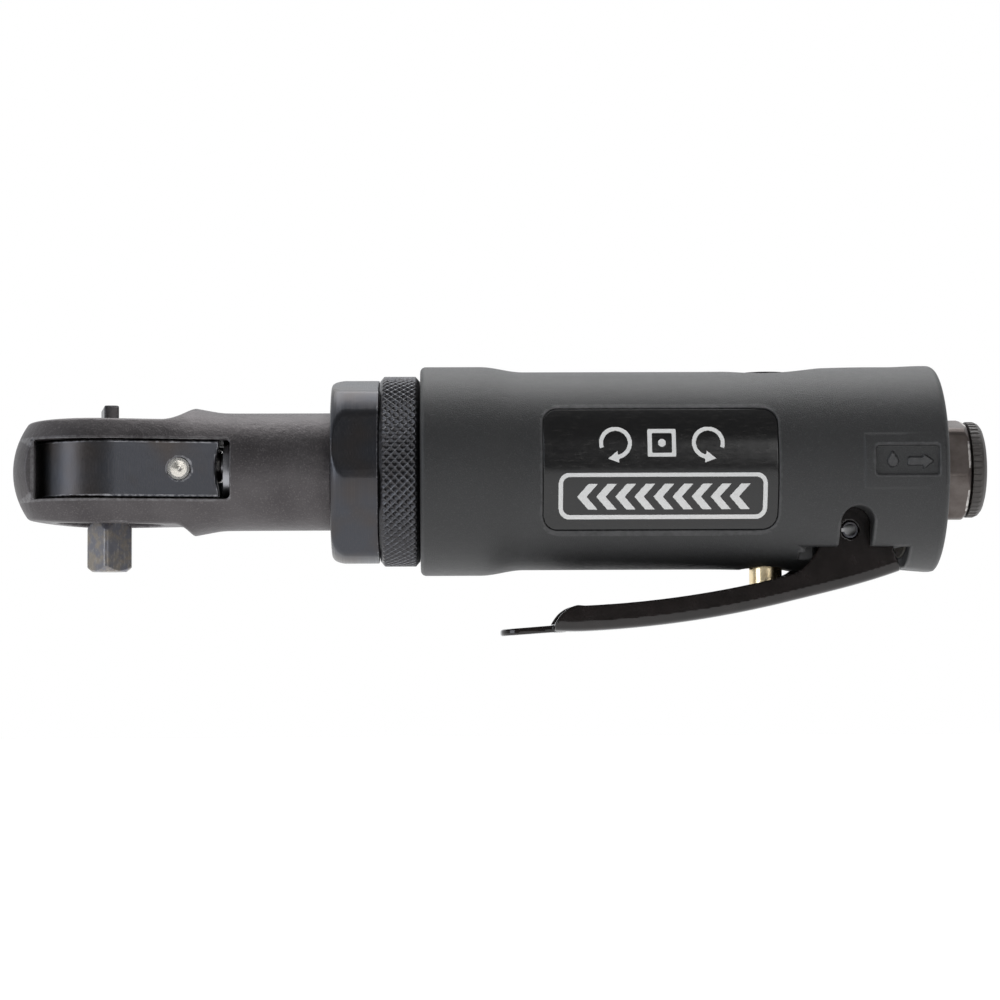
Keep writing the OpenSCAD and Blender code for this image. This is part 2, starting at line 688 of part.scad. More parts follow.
module rotor() tool() color(steel) union() {
    difference() {
        x_cyl([liner_x[0] + 0.1, liner_x[1] - 0.1], rotor_r);
        vane_slots(1.8, 5.2, far, [0, far * 2]);
    }
    x_cyl([front_race - 0.3, liner_x[0] + 0.3], shaft_r);
    x_cyl([liner_x[1] - 0.3, rear_race + race_w + 0.3], shaft_r);
    x_cyl([gear_x[1] + 0.4, front_race], 3.4);
    x_gear(sun_teeth, backlash, 0.6);
}

module rotor_vanes() tool() color(plastic)
    vane_slots(1.7, 5.3, rotor_r - 0.05, [liner_x[0] + 0.15, liner_x[1] - 0.15]);

module motor_gasket() tool() color(rubber)
    x_tube([rear_plate[1], rear_plate[1] + gasket], bore_r - 1, 12.2);

// ---- Throttle valve ----

module valve_bushing() tool() color(brass) translate([valve_x, 0, 0]) difference() {
    z_cyl([-17.6, seat_z], 4.58);
    z_cyl([-far, far], stem_r + gap);
}

module valve_stem() tool() color(brass) translate([valve_x, 0, 0]) {
    translate([0, 0, lever_z(valve_x) + sheet + 0.45]) cylinder(h = 1.2, r1 = 1, r2 = stem_r);
    z_cyl([lever_z(valve_x) + sheet + 1.65, seat_z + 0.8], stem_r);
    z_cyl([seat_z + 0.8, spring_z[0]], 4.5);
    z_cyl([spring_z[0], spring_z[0] + 2], 2);
}

module valve_o_ring() tool() color(rubber) translate([valve_x, 0, seat_z + 0.4])
    rotate_extrude() translate([stem_r + 0.45, 0]) circle(r = 0.38);

module valve_spring() tool() color(bright) translate([valve_x, 0, 0]) coil(spring_z, 3.4, 0.4, 7);

module valve_plug() tool() color(black_steel) translate([valve_x, 0, 0]) difference() {
    z_cyl([spring_z[1] + 0.05, plug_top], chamber_r - gap);
    translate([0, 0, 14.4]) cylinder(h = 5, r = 2.9, $fn = 6);
    rotate_extrude() translate([chamber_r, 13]) circle(r = 0.75);
}

module valve_plug_o_ring() tool() color(rubber) translate([valve_x, 0, 13])
    rotate_extrude() intersection() {
        translate([chamber_r - 0.05, 0]) circle(r = 0.68);
        translate([3, -2]) square([chamber_r - 3.02, 4]);
    }

// ---- Lever ----

// The channel's section: across the tool, and outwards from the arc's centre
module channel_section() difference() {
    translate([arc_r, 0]) {
        translate([-wall_h, -lever_half]) square([wall_h - fold_r, 2 * lever_half]);
        translate([-fold_r - 0.1, -lever_half + fold_r]) square([fold_r + 0.1, 2 * (lever_half - fold_r)]);
        for (s = [-1, 1]) translate([-fold_r, s * (lever_half - fold_r)]) circle(r = fold_r);
    }
    translate([arc_r - sheet, 0]) {
        translate([-wall_h, -lever_half + sheet])
            square([wall_h - fold_r + sheet, 2 * (lever_half - sheet)]);
        translate([-fold_r, -lever_half + fold_r]) square([fold_r, 2 * (lever_half - fold_r)]);
        for (s = [-1, 1]) translate([-fold_r + sheet, s * (lever_half - fold_r)])
            circle(r = fold_r - sheet);
    }
}

// One ear, seen from the side
module ear_outline() polygon(concat(
    [for (x = [145.2:-3.5:124.2]) [x, lever_z(x) + wall_h - 1]],
    [[123, lever_z(123) + wall_h - 0.3], [125.2, -20.05], [127, -19.3], [128.4, -18.2], [129.6, -16.9],
    [130.6, -15.4], [131.3, -13.7], [132.1, -11.6]],
    arc([136, -10.4], 3.3, 165, 90, 5),
    arc([138.6, -10.6], 3.5, 90, 20, 5),
    [[143, -13.2], [144.4, -14.05]]));

module throttle_lever() tool() color(black_steel) difference() {
    union() {
        difference() {
            translate([arc_x, 0, arc_z]) rotate([90, 0, 0]) rotate([0, 0, lever_turn(bend_x)])
                rotate_extrude(angle = lever_turn(lever_rear) - lever_turn(bend_x), $fn = 480)
                channel_section();
            // the walls drop to the tongue
            side_slab(far) polygon([[70, -20], [91, -20], [90, -24.6], [87.4, -25.1], [85.5, -25.5],
                [84, -26.3], [83, -27.6], [82.2, -28.55], [70, -28.55]]);
        }
        for (s = [-1, 1]) translate([0, s * (lever_half - sheet / 2), 0])
            side_slab(sheet / 2) ear_outline();
        // the tongue
        intersection() {
            side_slab(lever_half) polygon([[tail_x, -30.8], [bend_x + 2, lever_z(bend_x + 2)],
                [bend_x + 2, lever_z(bend_x + 2) + sheet], [tail_x, -29.6]]);
            linear_extrude(height = 2 * far, center = true) union() {
                for (s = [-1, 1]) translate([tail_x + 4, (tongue_half - 4) * s]) circle(r = 4);
                translate([tail_x, 4 - tongue_half]) square([12, 2 * tongue_half - 8]);
                translate([tail_x + 4, -tongue_half]) square([bend_x - 1 - tail_x, 2 * tongue_half]);
            }
        }
    }
    translate([pivot_x, 0, -pivot_z]) y_cyl(far, 1.5 + gap);
}

module lever_pin() tool() color(black_steel) translate([pivot_x, 0, -pivot_z]) rotate([90, 0, 0])
    linear_extrude(height = 2 * lever_half + 0.4, center = true) difference() {
        circle(r = 1.49);
        circle(r = 1.08);
        translate([-2, 0]) square([3, 0.7], center = true);
    }

// ---- Inlet and exhaust ----

module inlet_bushing() tool() color(black_steel) difference() {
    union() {
        rotate([-inlet_turn, 0, 0]) intersection() {
            x_hex([151.2, inlet_end], inlet_flats, 9.7);
            x_revolve([[151, 0], [151, 10.5], [inlet_end - 1.6, 10.5], [inlet_end, 8.9], [inlet_end, 0]]);
        }
        x_cyl([134.2, 151.3], inlet_thread_r);
    }
    x_cyl([inlet_end - mouth_len, inlet_end + 1], mouth_r);
    x_cyl([inlet_end - mouth_len - inlet_len, inlet_end], inlet_r);
    x_cyl([130, inlet_end], passage_r);
    x_cyl([inlet_end - mouth_len - inlet_len - 0.9, inlet_end], screen_r + gap);
    // groove of the o-ring
    x_tube([137, 138.9], 12, 7.1);
}

module inlet_o_ring() tool() color(rubber) translate([137.95, 0, 0]) rotate([0, 90, 0])
    rotate_extrude() translate([7.65, 0]) circle(r = 0.52);

module inlet_screen() tool() color(steel) difference() {
    x_cyl([inlet_end - mouth_len - inlet_len - 0.8, inlet_end - mouth_len - inlet_len - 0.1], screen_r);
    for (a = [0:60:300]) rotate([a, 0, 0]) translate([0, 0, 2.6]) x_cyl([140, 150], 0.8);
    x_cyl([140, 150], 0.8);
}

module exhaust_silencer() tool() color(felt) x_tube([147.2, 149.9], 16.4, 10.8);

module exhaust_deflector() tool() color(plastic) difference() {
    x_tube([150, 151.1], 16.5, 10.8);
    for (i = [0:17]) rotate([20 * i, 0, 0]) translate([0, 0, 13.6]) x_cyl([149, 152], 1.3);
}

module inlet_dust_plug() tool() color(plastic) difference() {
    union() {
        x_revolve([[plug_x[0], 0], [plug_x[0], plug_r], [plug_x[0] + 1.3, plug_r],
            [plug_x[0] + 2, plug_r - 0.3], [plug_x[0] + 2.5, plug_r - 0.9], [plug_x[1], plug_r - 1.8],
            [plug_x[1], 0]]);
        x_cyl([inlet_end - mouth_len + 0.1, plug_x[0] + 0.5], mouth_r - gap);
    }
    x_cyl([150, plug_x[0] + 1], mouth_r - 1.4);
    // finger ribs
    for (i = [0:47]) rotate([7.5 * i, 0, 0]) translate([0, 0, plug_r + 0.25])
        x_cyl([plug_x[0] - 1, plug_x[1] + 1], 0.45);
}

ratchet_housing();
retaining_ring();
thrust_washer();
friction_washer();
crank_bearing_cup();
crank_bearing_rollers();
ratchet_yoke();
yoke_wear_pins();
drive_anvil();
socket_ball();
socket_ball_spring();
pawl_pin();
pawl();
reverse_knob();
pawl_plunger();
plunger_spring();
crankshaft();
planet_pins();
drive_bushing();
planet_gear_1();
planet_gear_2();
planet_gear_3();
ring_gear();
carrier_washer();
clamp_nut();
knurled_lock_ring();
motor_housing();
name_plate();
front_end_plate();
front_bearing_outer();
front_bearing_inner();
front_bearing_balls();
cylinder_liner();
liner_dowel();
rotor();
rotor_vanes();
rear_end_plate();
rear_bearing_outer();
rear_bearing_inner();
rear_bearing_balls();
motor_gasket();
valve_bushing();
valve_stem();
valve_o_ring();
valve_spring();
valve_plug();
valve_plug_o_ring();
throttle_lever();
lever_pin();
inlet_bushing();
inlet_o_ring();
inlet_screen();
exhaust_silencer();
exhaust_deflector();
inlet_dust_plug();
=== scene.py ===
"""Looks of a compact air ratchet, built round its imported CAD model.

Shapes are written as signed distances in millimetres about the tool axis (X along the tool, Z up, 0 on
the axis) and meshed here, so every edge has a true radius. Nodes that already look right keep their CAD
mesh and get a material.
"""
import json
import math

import bpy
import numpy as np
from mathutils import Matrix, Quaternion, Vector


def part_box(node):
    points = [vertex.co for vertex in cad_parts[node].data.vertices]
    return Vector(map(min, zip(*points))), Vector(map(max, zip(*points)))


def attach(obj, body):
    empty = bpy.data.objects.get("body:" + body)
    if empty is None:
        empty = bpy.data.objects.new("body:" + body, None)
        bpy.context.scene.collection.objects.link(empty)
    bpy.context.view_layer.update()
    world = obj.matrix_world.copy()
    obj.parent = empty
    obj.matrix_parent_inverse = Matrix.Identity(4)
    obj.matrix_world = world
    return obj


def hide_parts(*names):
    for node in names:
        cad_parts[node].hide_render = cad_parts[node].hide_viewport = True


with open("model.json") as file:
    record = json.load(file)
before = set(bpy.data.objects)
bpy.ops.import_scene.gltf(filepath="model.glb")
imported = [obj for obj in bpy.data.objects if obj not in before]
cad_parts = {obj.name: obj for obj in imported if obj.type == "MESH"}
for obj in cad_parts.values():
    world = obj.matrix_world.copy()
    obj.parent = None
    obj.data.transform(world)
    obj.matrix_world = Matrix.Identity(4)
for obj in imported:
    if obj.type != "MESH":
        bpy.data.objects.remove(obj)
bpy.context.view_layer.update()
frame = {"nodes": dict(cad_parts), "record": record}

MM = 0.001


# The tool axis runs through the middle of the lock ring, this high above the origin
AXIS_H = sum(corner[2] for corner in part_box("knurled_lock_ring")) / 2 / MM

# ---- Camera ----

# Places about the tool axis, in millimetres
EYE = Vector((61.3, -500.0, -33.0))
AIM = Vector((72.71, 0.0, -5.35))
LENS = 96.47
ROLL = -0.0048


def make_camera():
    data = bpy.data.cameras.new("camera")
    data.lens = LENS
    data.sensor_width = 36.0
    data.clip_start = 0.01
    camera = bpy.data.objects.new("camera", data)
    camera.location = (EYE + Vector((0, 0, AXIS_H))) * MM
    aim = (AIM - EYE).to_track_quat("-Z", "Y") @ Quaternion((0, 0, 1), ROLL)
    camera.rotation_euler = aim.to_euler()
    bpy.context.scene.collection.objects.link(camera)
    bpy.context.scene.camera = camera


make_camera()

# ---- Combining shapes ----
# A field is negative inside. r is the radius of the edge or corner where two shapes meet.


def both(a, b, r=0.0):
    """The part inside both shapes, with the edge between them rounded."""
    if r == 0:
        return np.maximum(a, b)
    return np.minimum(-r, np.maximum(a, b)) + np.hypot(np.maximum(a + r, 0), np.maximum(b + r, 0))


def either(a, b, r=0.0):
    """Both shapes joined, with a fillet in the corner between them."""
    if r == 0:
        return np.minimum(a, b)
    return np.maximum(r, np.minimum(a, b)) - np.hypot(np.maximum(r - a, 0), np.maximum(r - b, 0))


def without(a, b, r=0.0):
    """The first shape less the second."""
    return both(a, -b, r)


def slab(v, lo, hi):
    return np.maximum(lo - v, v - hi)


def box2(u, v, lo, hi, r):
    """A rectangle with round corners."""
    qu = np.abs(u - (lo[0] + hi[0]) / 2) - (hi[0] - lo[0]) / 2 + r
    qv = np.abs(v - (lo[1] + hi[1]) / 2) - (hi[1] - lo[1]) / 2 + r
    return np.hypot(np.maximum(qu, 0), np.maximum(qv, 0)) + np.minimum(np.maximum(qu, qv), 0) - r


def outline(u, v, points):
    """A polygon."""
    near = np.inf
    inside = False
    for (u0, v0), (u1, v1) in zip(points, points[1:] + points[:1]):
        du, dv = u1 - u0, v1 - v0
        t = np.clip(((u - u0) * du + (v - v0) * dv) / (du * du + dv * dv), 0, 1)
        near = np.minimum(near, (u - u0 - du * t) ** 2 + (v - v0 - dv * t) ** 2)
        if dv:
            inside = inside ^ (((v0 > v) != (v1 > v)) & (u < u0 + du * (v - v0) / dv))
    return np.where(inside, -1.0, 1.0) * np.sqrt(near)


def tapered(u, v, r, turn):
    """A round end of radius r that runs on along u as a straight side, falling by turn degrees."""
    s, c = math.sin(math.radians(turn)), math.cos(math.radians(turn))
    return np.where(u * c > v * s, u * s + v * c - r, np.hypot(u, v) - r)


def ease(a, b, t):
    t = np.clip(t, 0, 1)
    return a + (b - a) * t * t * (3 - 2 * t)


def arc_points(centre, r, start, end, n):
    """Points on an arc in a plane, angles in degrees."""
    turns = [math.radians(start + (end - start) * i / n) for i in range(n + 1)]
    return [(centre[0] + r * math.cos(a), centre[1] + r * math.sin(a)) for a in turns]


# ---- Meshing a field ----


def steps(*stretches):
    """Grid planes: each stretch is (from, to, pitch), and each starts where the last ends."""
    parts = []
    for lo, hi, pitch in stretches:
        n = max(1, round((hi - lo) / pitch))
        parts.append(lo + (hi - lo) * np.arange(n) / n)
    return np.append(np.concatenate(parts), stretches[-1][1])


def tilt(field, p, h=0.01):
    """The field and its slope at points."""
    corners = np.array([(1, -1, -1), (-1, -1, 1), (-1, 1, -1), (1, 1, 1)], float)
    values = [np.ravel(field(*(p + h * k).T)) for k in corners]
    slope = sum(v[:, None] * k for v, k in zip(values, corners)) / (4 * h)
    return sum(values) / 4, slope


def settle(field, p, reach, rounds=4):
    """Moves points onto the surface, each by no more than reach."""
    start = p.copy()
    for _ in range(rounds):
        f, g = tilt(field, p)
        p = p - (f / np.maximum((g * g).sum(1), 0.2))[:, None] * g
        away = p - start
        size = np.linalg.norm(away, axis=1)
        p = start + away * np.minimum(1, reach / np.maximum(size, 1e-9))[:, None]
    return p


def net(field, axes, polar, closed):
    """Vertices and quads where the field crosses zero on a grid, one vertex in each cell it passes through.
    A polar grid has the axes X, angle about X, and radius. If it is closed, it runs right round X."""
    u, v, w = np.ix_(*axes)
    if polar:
        x, y, z = u, w * np.sin(v), w * np.cos(v)
    else:
        x, y, z = u, v, w
    shape = tuple(len(a) for a in axes)
    f = np.broadcast_to(field(x, y, z), shape)
    place = np.stack([np.broadcast_to(q, shape) for q in (x, y, z)], -1)
    if polar and closed:
        f = np.concatenate([f, f[:, :1]], 1)
        place = np.concatenate([place, place[:, :1]], 1)
    inside = f < 0
    cells = tuple(n - 1 for n in inside.shape)
    corners = [(i, j, k) for i in (0, 1) for j in (0, 1) for k in (0, 1)]
    count = sum(inside[i:i + cells[0], j:j + cells[1], k:k + cells[2]].astype(np.int8)
                for i, j, k in corners)
    where = np.argwhere((count > 0) & (count < 8))
    at = {c: tuple((where + c).T) for c in corners}
    total, hits = np.zeros((len(where), 3)), np.zeros(len(where))
    for a in corners:
        for axis in range(3):
            if a[axis] == 0:
                b = tuple(n + (i == axis) for i, n in enumerate(a))
                fa, fb = f[at[a]], f[at[b]]
                cross = (fa < 0) != (fb < 0)
                t = np.where(cross, fa / np.where(cross, fa - fb, 1), 0)[:, None]
                total += np.where(cross[:, None], place[at[a]] * (1 - t) + place[at[b]] * t, 0)
                hits += cross
    number = np.full(cells, -1)
    number[tuple(where.T)] = np.arange(len(where))
    quads = []
    for axis in range(3):
        low = inside[tuple(slice(0, -1) if i == axis else slice(None) for i in range(3))]
        high = inside[tuple(slice(1, None) if i == axis else slice(None) for i in range(3))]
        edges = np.argwhere(low != high)
        b, c = (axis + 1) % 3, (axis + 2) % 3
        if polar and closed and axis != 1:
            edges = edges[edges[:, 1] < cells[1]]
        ring = []
        for db, dc in ((0, 0), (1, 0), (1, 1), (0, 1)):
            cell = edges.copy()
            cell[:, b] -= db
            cell[:, c] -= dc
            if polar and closed:
                cell[:, 1] %= cells[1]
            ok = ((cell >= 0) & (cell < cells)).all(1)
            cell[~ok] = 0
            ring.append(np.where(ok, number[tuple(cell.T)], -1))
        quad = np.stack(ring, 1)
        flip = low[tuple(edges.T)]
        quad[~flip] = quad[~flip][:, ::-1]
        quads.append(quad[(quad >= 0).all(1)])
    return total / hits[:, None], np.concatenate(quads)


def make_mesh(name, points, faces):
    """A Blender mesh from millimetres about the tool axis."""
    mesh = bpy.data.meshes.new(name)
    mesh.from_pydata((np.asarray(points) + [0, 0, AXIS_H]) * MM, [], [tuple(map(int, q)) for q in faces])
    mesh.update()
    return mesh


def piece(name, mesh, body, slot, *nodes):
    """A finished piece: it rides on a body, stands for CAD nodes and takes its slot's material."""
    thing = bpy.data.objects.new(name, mesh)
    bpy.context.scene.collection.objects.link(thing)
    thing.data.materials.append(MATERIALS[slot])
    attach(thing, body)
    if nodes:
        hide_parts(*nodes)
    return thing


def points_of(mesh):
    co = np.empty(len(mesh.vertices) * 3)
    mesh.vertices.foreach_get("co", co)
    return co.reshape(-1, 3) / MM - [0, 0, AXIS_H]


def thinned(mesh, share):
    """The mesh with only that share of its faces, fewest where it is flattest."""
    holder = bpy.data.objects.new("holder", mesh)
    bpy.context.scene.collection.objects.link(holder)
    fewer = holder.modifiers.new("fewer", "DECIMATE")
    fewer.ratio = share
    graph = bpy.context.evaluated_depsgraph_get()
    thin = bpy.data.meshes.new_from_object(holder.evaluated_get(graph))
    bpy.data.objects.remove(holder)
    bpy.data.meshes.remove(mesh)
    return thin


def carve(name, field, axes, polar=False, closed=True, share=1.0, depth=0.7, turn=None):
    """The mesh of a field, with normals from the field itself and an attribute, edge, that grows on convex
    edges. The field may be drawn straight and then turned about an axis, in degrees."""
    points, quads = net(field, axes, polar, closed)
    pitch = min(float(np.min(np.diff(a))) for a in (axes[0], axes[2]))
    points = settle(field, points, pitch)
    _, g = tilt(field, points)
    a, b, c = (points[quads[:, i]] for i in (0, 1, 2))
    if (np.cross(b - a, c - a) * g[quads[:, 0]]).sum() < 0:
        quads = quads[:, ::-1]
    mesh = make_mesh(name, points, quads)
    if share < 1:
        mesh = thinned(mesh, share)
        mesh.name = name
        points = settle(field, points_of(mesh), pitch)
        mesh.vertices.foreach_set("co", ((points + [0, 0, AXIS_H]) * MM).ravel())
    _, g = tilt(field, points)
    normals = g / np.maximum(np.linalg.norm(g, axis=1), 1e-9)[:, None]
    mesh.polygons.foreach_set("use_smooth", np.ones(len(mesh.polygons), bool))
    under = np.ravel(field(*(points - depth * normals).T))
    edge = np.clip((1 + under / depth) / 0.25, 0, 1)
    mesh.attributes.new("edge", "FLOAT", "POINT").data.foreach_set("value", edge.astype(np.float32))
    if turn:
        matrix = np.array(Matrix.Rotation(math.radians(turn[1]), 3, turn[0])).T
        points, normals = points @ matrix, normals @ matrix
        mesh.vertices.foreach_set("co", ((points + [0, 0, AXIS_H]) * MM).ravel())
    mesh.normals_split_custom_set_from_vertices(normals.tolist())
    mesh.update()
    return mesh


def lathe(name, rings, around, sharp):
    """A mesh of revolution about the tool axis. Each ring is (x, r), r may differ round the ring, and the
    last ring joins the first."""
    turn = 2 * np.pi * np.arange(around) / around
    still = np.zeros(around)
    points = [np.stack([x + still, (r + still) * np.sin(turn), (r + still) * np.cos(turn)], 1)
              for x, r in rings]
    n = len(rings)
    links = [(i, (i + 1) % n) for i in range(n)]
    k = np.arange(around)
    after = (k + 1) % around
    faces = [np.stack([i * around + k, i * around + after, j * around + after, j * around + k], 1)
             for i, j in links]
    faces = [tuple(q) for q in np.concatenate(faces).tolist()]
    mesh = make_mesh(name, np.concatenate(points), faces)
    mesh.polygons.foreach_set("use_smooth", np.ones(len(mesh.polygons), bool))
    mesh.set_sharp_from_angle(angle=math.radians(sharp))
    return mesh


# ---- Materials ----


class Shader:
    """One procedural material, written as short steps. Lengths are in millimetres on the object."""

    def __init__(self, name):
        self.material = bpy.data.materials.new(name)
        self.material.use_nodes = True
        self.tree = self.material.node_tree
        self.tree.nodes.clear()
        self.surface = self.node("ShaderNodeBsdfPrincipled")
        out = self.node("ShaderNodeOutputMaterial")
        self.tree.links.new(self.surface.outputs["BSDF"], out.inputs["Surface"])
        self.place = self.node("ShaderNodeTexCoord").outputs["Object"]

    def node(self, kind, **settings):
        made = self.tree.nodes.new(kind)
        for key, value in settings.items():
            setattr(made, key, value)
        return made

    def feed(self, socket, value):
        if isinstance(value, bpy.types.NodeSocket):
            self.tree.links.new(value, socket)
        else:
            socket.default_value = value

    def math(self, operation, a, b=0.0):
        made = self.node("ShaderNodeMath", operation=operation)
        self.feed(made.inputs[0], a)
        self.feed(made.inputs[1], b)
        return made.outputs[0]

    def stretched(self, factors, place=None):
        """The place on the object, scaled along each axis."""
        made = self.node("ShaderNodeVectorMath", operation="MULTIPLY")
        self.feed(made.inputs[0], place or self.place)
        self.feed(made.inputs[1], factors)
        return made.outputs[0]

    def turned(self):
        """X along the tool and the distance from its axis: a pattern on it runs in rings round the tool."""
        parts = self.node("ShaderNodeSeparateXYZ")
        self.feed(parts.inputs[0], self.place)
        height = self.math("SUBTRACT", parts.outputs[2], AXIS_H * MM)
        y2, z2 = (self.math("POWER", length, 2.0) for length in (parts.outputs[1], height))
        square = self.math("ADD", y2, z2)
        joined = self.node("ShaderNodeCombineXYZ")
        self.feed(joined.inputs[0], parts.outputs[0])
        self.feed(joined.inputs[1], self.math("SQRT", square))
        return joined.outputs[0]

    def noise(self, size, detail=2.0, rough=0.5, place=None):
        made = self.node("ShaderNodeTexNoise")
        self.feed(made.inputs["Vector"], place or self.place)
        made.inputs["Scale"].default_value = 1 / (size * MM)
        made.inputs["Detail"].default_value = detail
        made.inputs["Roughness"].default_value = rough
        return made.outputs["Fac"]

    def level(self, value, lo, hi, to_lo=0.0, to_hi=1.0):
        """Spreads a value from lo..hi over to_lo..to_hi."""
        made = self.node("ShaderNodeMapRange")
        keys = ("Value", "From Min", "From Max", "To Min", "To Max")
        for key, v in zip(keys, (value, lo, hi, to_lo, to_hi)):
            self.feed(made.inputs[key], v)
        return made.outputs[0]

    def blend(self, a, b, share):
        made = self.node("ShaderNodeMix", data_type="RGBA")
        self.feed(made.inputs[0], share)
        for socket, value in ((made.inputs[6], a), (made.inputs[7], b)):
            self.feed(socket, value if isinstance(value, bpy.types.NodeSocket) else (*value, 1.0))
        return made.outputs[2]

    def worn(self, start, end, patch=1.2):
        """How far the finish has worn through: on convex edges, in patches."""
        edge = self.node("ShaderNodeAttribute", attribute_name="edge").outputs["Fac"]
        ragged = self.math("MULTIPLY", self.math("SUBTRACT", self.noise(patch, 4.0, 0.65), 0.5), 0.9)
        return self.level(self.math("ADD", edge, ragged), start, end)

    def bump(self, height, depth, under=None):
        made = self.node("ShaderNodeBump")
        made.inputs["Distance"].default_value = depth * MM
        self.feed(made.inputs["Height"], height)
        if under is not None:
            self.feed(made.inputs["Normal"], under)
        return made.outputs[0]

    def done(self, **sockets):
        for key, value in sockets.items():
            socket = self.surface.inputs[key.replace("_", " ")]
            if isinstance(value, tuple):
                value = (*value, 1.0)
            self.feed(socket, value)
        return self.material


def forged_head():
    """Black oxide over fine cast grain, bright where edges are worn."""
    s = Shader("forged_head")
    grain = s.noise(0.32, 3.0, 0.6)
    cloud = s.noise(9.0, 3.0)
    dark = s.blend((0.068, 0.062, 0.064), (0.092, 0.085, 0.087), s.level(cloud, 0.35, 0.65))
    dark = s.blend(dark, (0.150, 0.138, 0.138), s.level(grain, 0.52, 0.8))
    worn = s.worn(0.85, 1.4)
    return s.done(
        Base_Color=s.blend(dark, (0.26, 0.255, 0.26), worn), Metallic=0.85,
        Roughness=s.level(s.math("SUBTRACT", grain, s.math("MULTIPLY", worn, 0.3)), 0.1, 0.8, 0.36, 0.58),
        Normal=s.bump(grain, 0.05, s.bump(s.noise(1.3), 0.10)))


def black_oxide():
    """Turned and milled steel, blacked: faint rings and a brown-blue cast."""
    s = Shader("black_oxide")
    rings = s.noise(0.16, 2.0, 0.5, s.turned())
    cast = s.noise(11.0, 2.0)
    dark = s.blend((0.062, 0.055, 0.053), (0.056, 0.058, 0.066), s.level(cast, 0.4, 0.6))
    dark = s.blend(dark, (0.095, 0.088, 0.088), s.level(rings, 0.5, 0.9, 0.0, 0.5))
    worn = s.worn(0.85, 1.35)
    return s.done(
        Base_Color=s.blend(dark, (0.40, 0.40, 0.42), worn), Metallic=0.92,
        Roughness=s.level(rings, 0.25, 0.75, 0.27, 0.40),
        Normal=s.bump(rings, 0.012, s.bump(s.noise(2.5), 0.03)))


def brushed_black():
    """Yoke: brushed along the tool, blue-black."""
    s = Shader("brushed_black")
    lines = s.noise(0.11, 3.0, 0.6, s.stretched((0.035, 1.0, 1.0)))
    dark = s.blend((0.085, 0.092, 0.108), (0.34, 0.355, 0.39), s.level(lines, 0.4, 0.72))
    return s.done(
        Base_Color=s.blend(dark, (0.5, 0.5, 0.5), s.worn(0.7, 1.1)), Metallic=1.0,
        Roughness=s.level(lines, 0.2, 0.8, 0.24, 0.42), Normal=s.bump(lines, 0.012))


def plain_steel(name, colour, rough, grain):
    """Ground or polished steel."""
    s = Shader(name)
    lines = s.noise(grain, 3.0, 0.6, s.stretched((1.0, 1.0, 0.12)))
    tone = s.blend(tuple(0.85 * c for c in colour), colour, s.level(lines, 0.3, 0.7))
    return s.done(
        Base_Color=tone, Metallic=1.0,
        Roughness=s.level(lines, 0.2, 0.8, rough * 0.8, rough * 1.3), Normal=s.bump(lines, 0.006))


def drive_steel():
    """The square drive: ground, then handled, with blue-grey and brown patches and rubbed edges."""
    s = Shader("drive_steel")
    patch = s.noise(2.2, 4.0, 0.65)
    rub = s.noise(0.35, 3.0, 0.6, s.stretched((1.0, 1.0, 0.35)))
    tone = s.blend((0.17, 0.17, 0.19), (0.24, 0.215, 0.185), s.level(patch, 0.42, 0.6))
    tone = s.blend(tone, (0.40, 0.38, 0.35), s.level(rub, 0.55, 0.8, 0.0, 0.7))
    return s.done(
        Base_Color=s.blend(tone, (0.42, 0.42, 0.45), s.worn(0.85, 1.3, 0.8)), Metallic=0.95,
        Roughness=s.level(rub, 0.2, 0.8, 0.30, 0.46), Normal=s.bump(rub, 0.02, s.bump(patch, 0.03)))


def knurl_black():
    """Knurled ring: blacked, with the points of the diamonds rubbed to a cooler grey; that bluish grey on
    the points is partly wear and partly painted highlight.
    """
    s = Shader("knurl_black")
    spread = s.noise(0.5, 2.0)
    dark = s.blend((0.040, 0.038, 0.039), (0.062, 0.062, 0.068), s.level(spread, 0.35, 0.65))
    return s.done(
        # diamond points: rubbed steel, and their bluish grey also serves as painted highlight
        Base_Color=s.blend(dark, (0.20, 0.21, 0.235), s.worn(0.75, 1.2, 0.6)), Metallic=0.9,
        Roughness=s.level(spread, 0.3, 0.7, 0.28, 0.42), Normal=s.bump(s.noise(0.2), 0.012))


def composite():
    """Moulded grip: charcoal, with a fine spark-eroded grain and short pale fibres near the skin."""
    s = Shader("composite")
    grain = s.noise(0.22, 3.0, 0.65)
    cloud = s.noise(14.0, 3.0)
    tone = s.blend((0.0125, 0.0125, 0.0130), (0.0175, 0.0175, 0.0180), s.level(cloud, 0.3, 0.7))
    tone = s.blend(tone, (0.060, 0.060, 0.062), s.level(grain, 0.52, 0.78, 0.0, 0.7))
    rubbed = s.worn(0.7, 1.2)
    return s.done(
        Base_Color=s.blend(tone, (0.075, 0.074, 0.075), rubbed),
        Roughness=s.level(grain, 0.25, 0.75, 0.42, 0.58), Specular_IOR_Level=0.55,
        Normal=s.bump(grain, 0.09, s.bump(s.noise(2.4, 3.0), 0.05)))


def label_black():
    """Gloss label with faint rubbing marks."""
    s = Shader("label_black")
    rub = s.noise(0.5, 4.0, 0.7, s.stretched((0.25, 1.0, 1.0)))
    return s.done(
        Base_Color=s.blend((0.010, 0.0095, 0.0095), (0.022, 0.020, 0.019), s.level(rub, 0.5, 0.8)),
        Roughness=s.level(rub, 0.3, 0.8, 0.14, 0.28), Normal=s.bump(s.noise(3.0), 0.012))


def label_print():
    """White ink, slightly mottled."""
    s = Shader("label_print")
    mottle = s.noise(0.35, 4.0, 0.7)
    return s.done(Base_Color=s.blend((0.88, 0.87, 0.84), (0.97, 0.96, 0.94), s.level(mottle, 0.3, 0.6)),
                  Roughness=s.level(mottle, 0.3, 0.7, 0.35, 0.5), Normal=s.bump(mottle, 0.01))


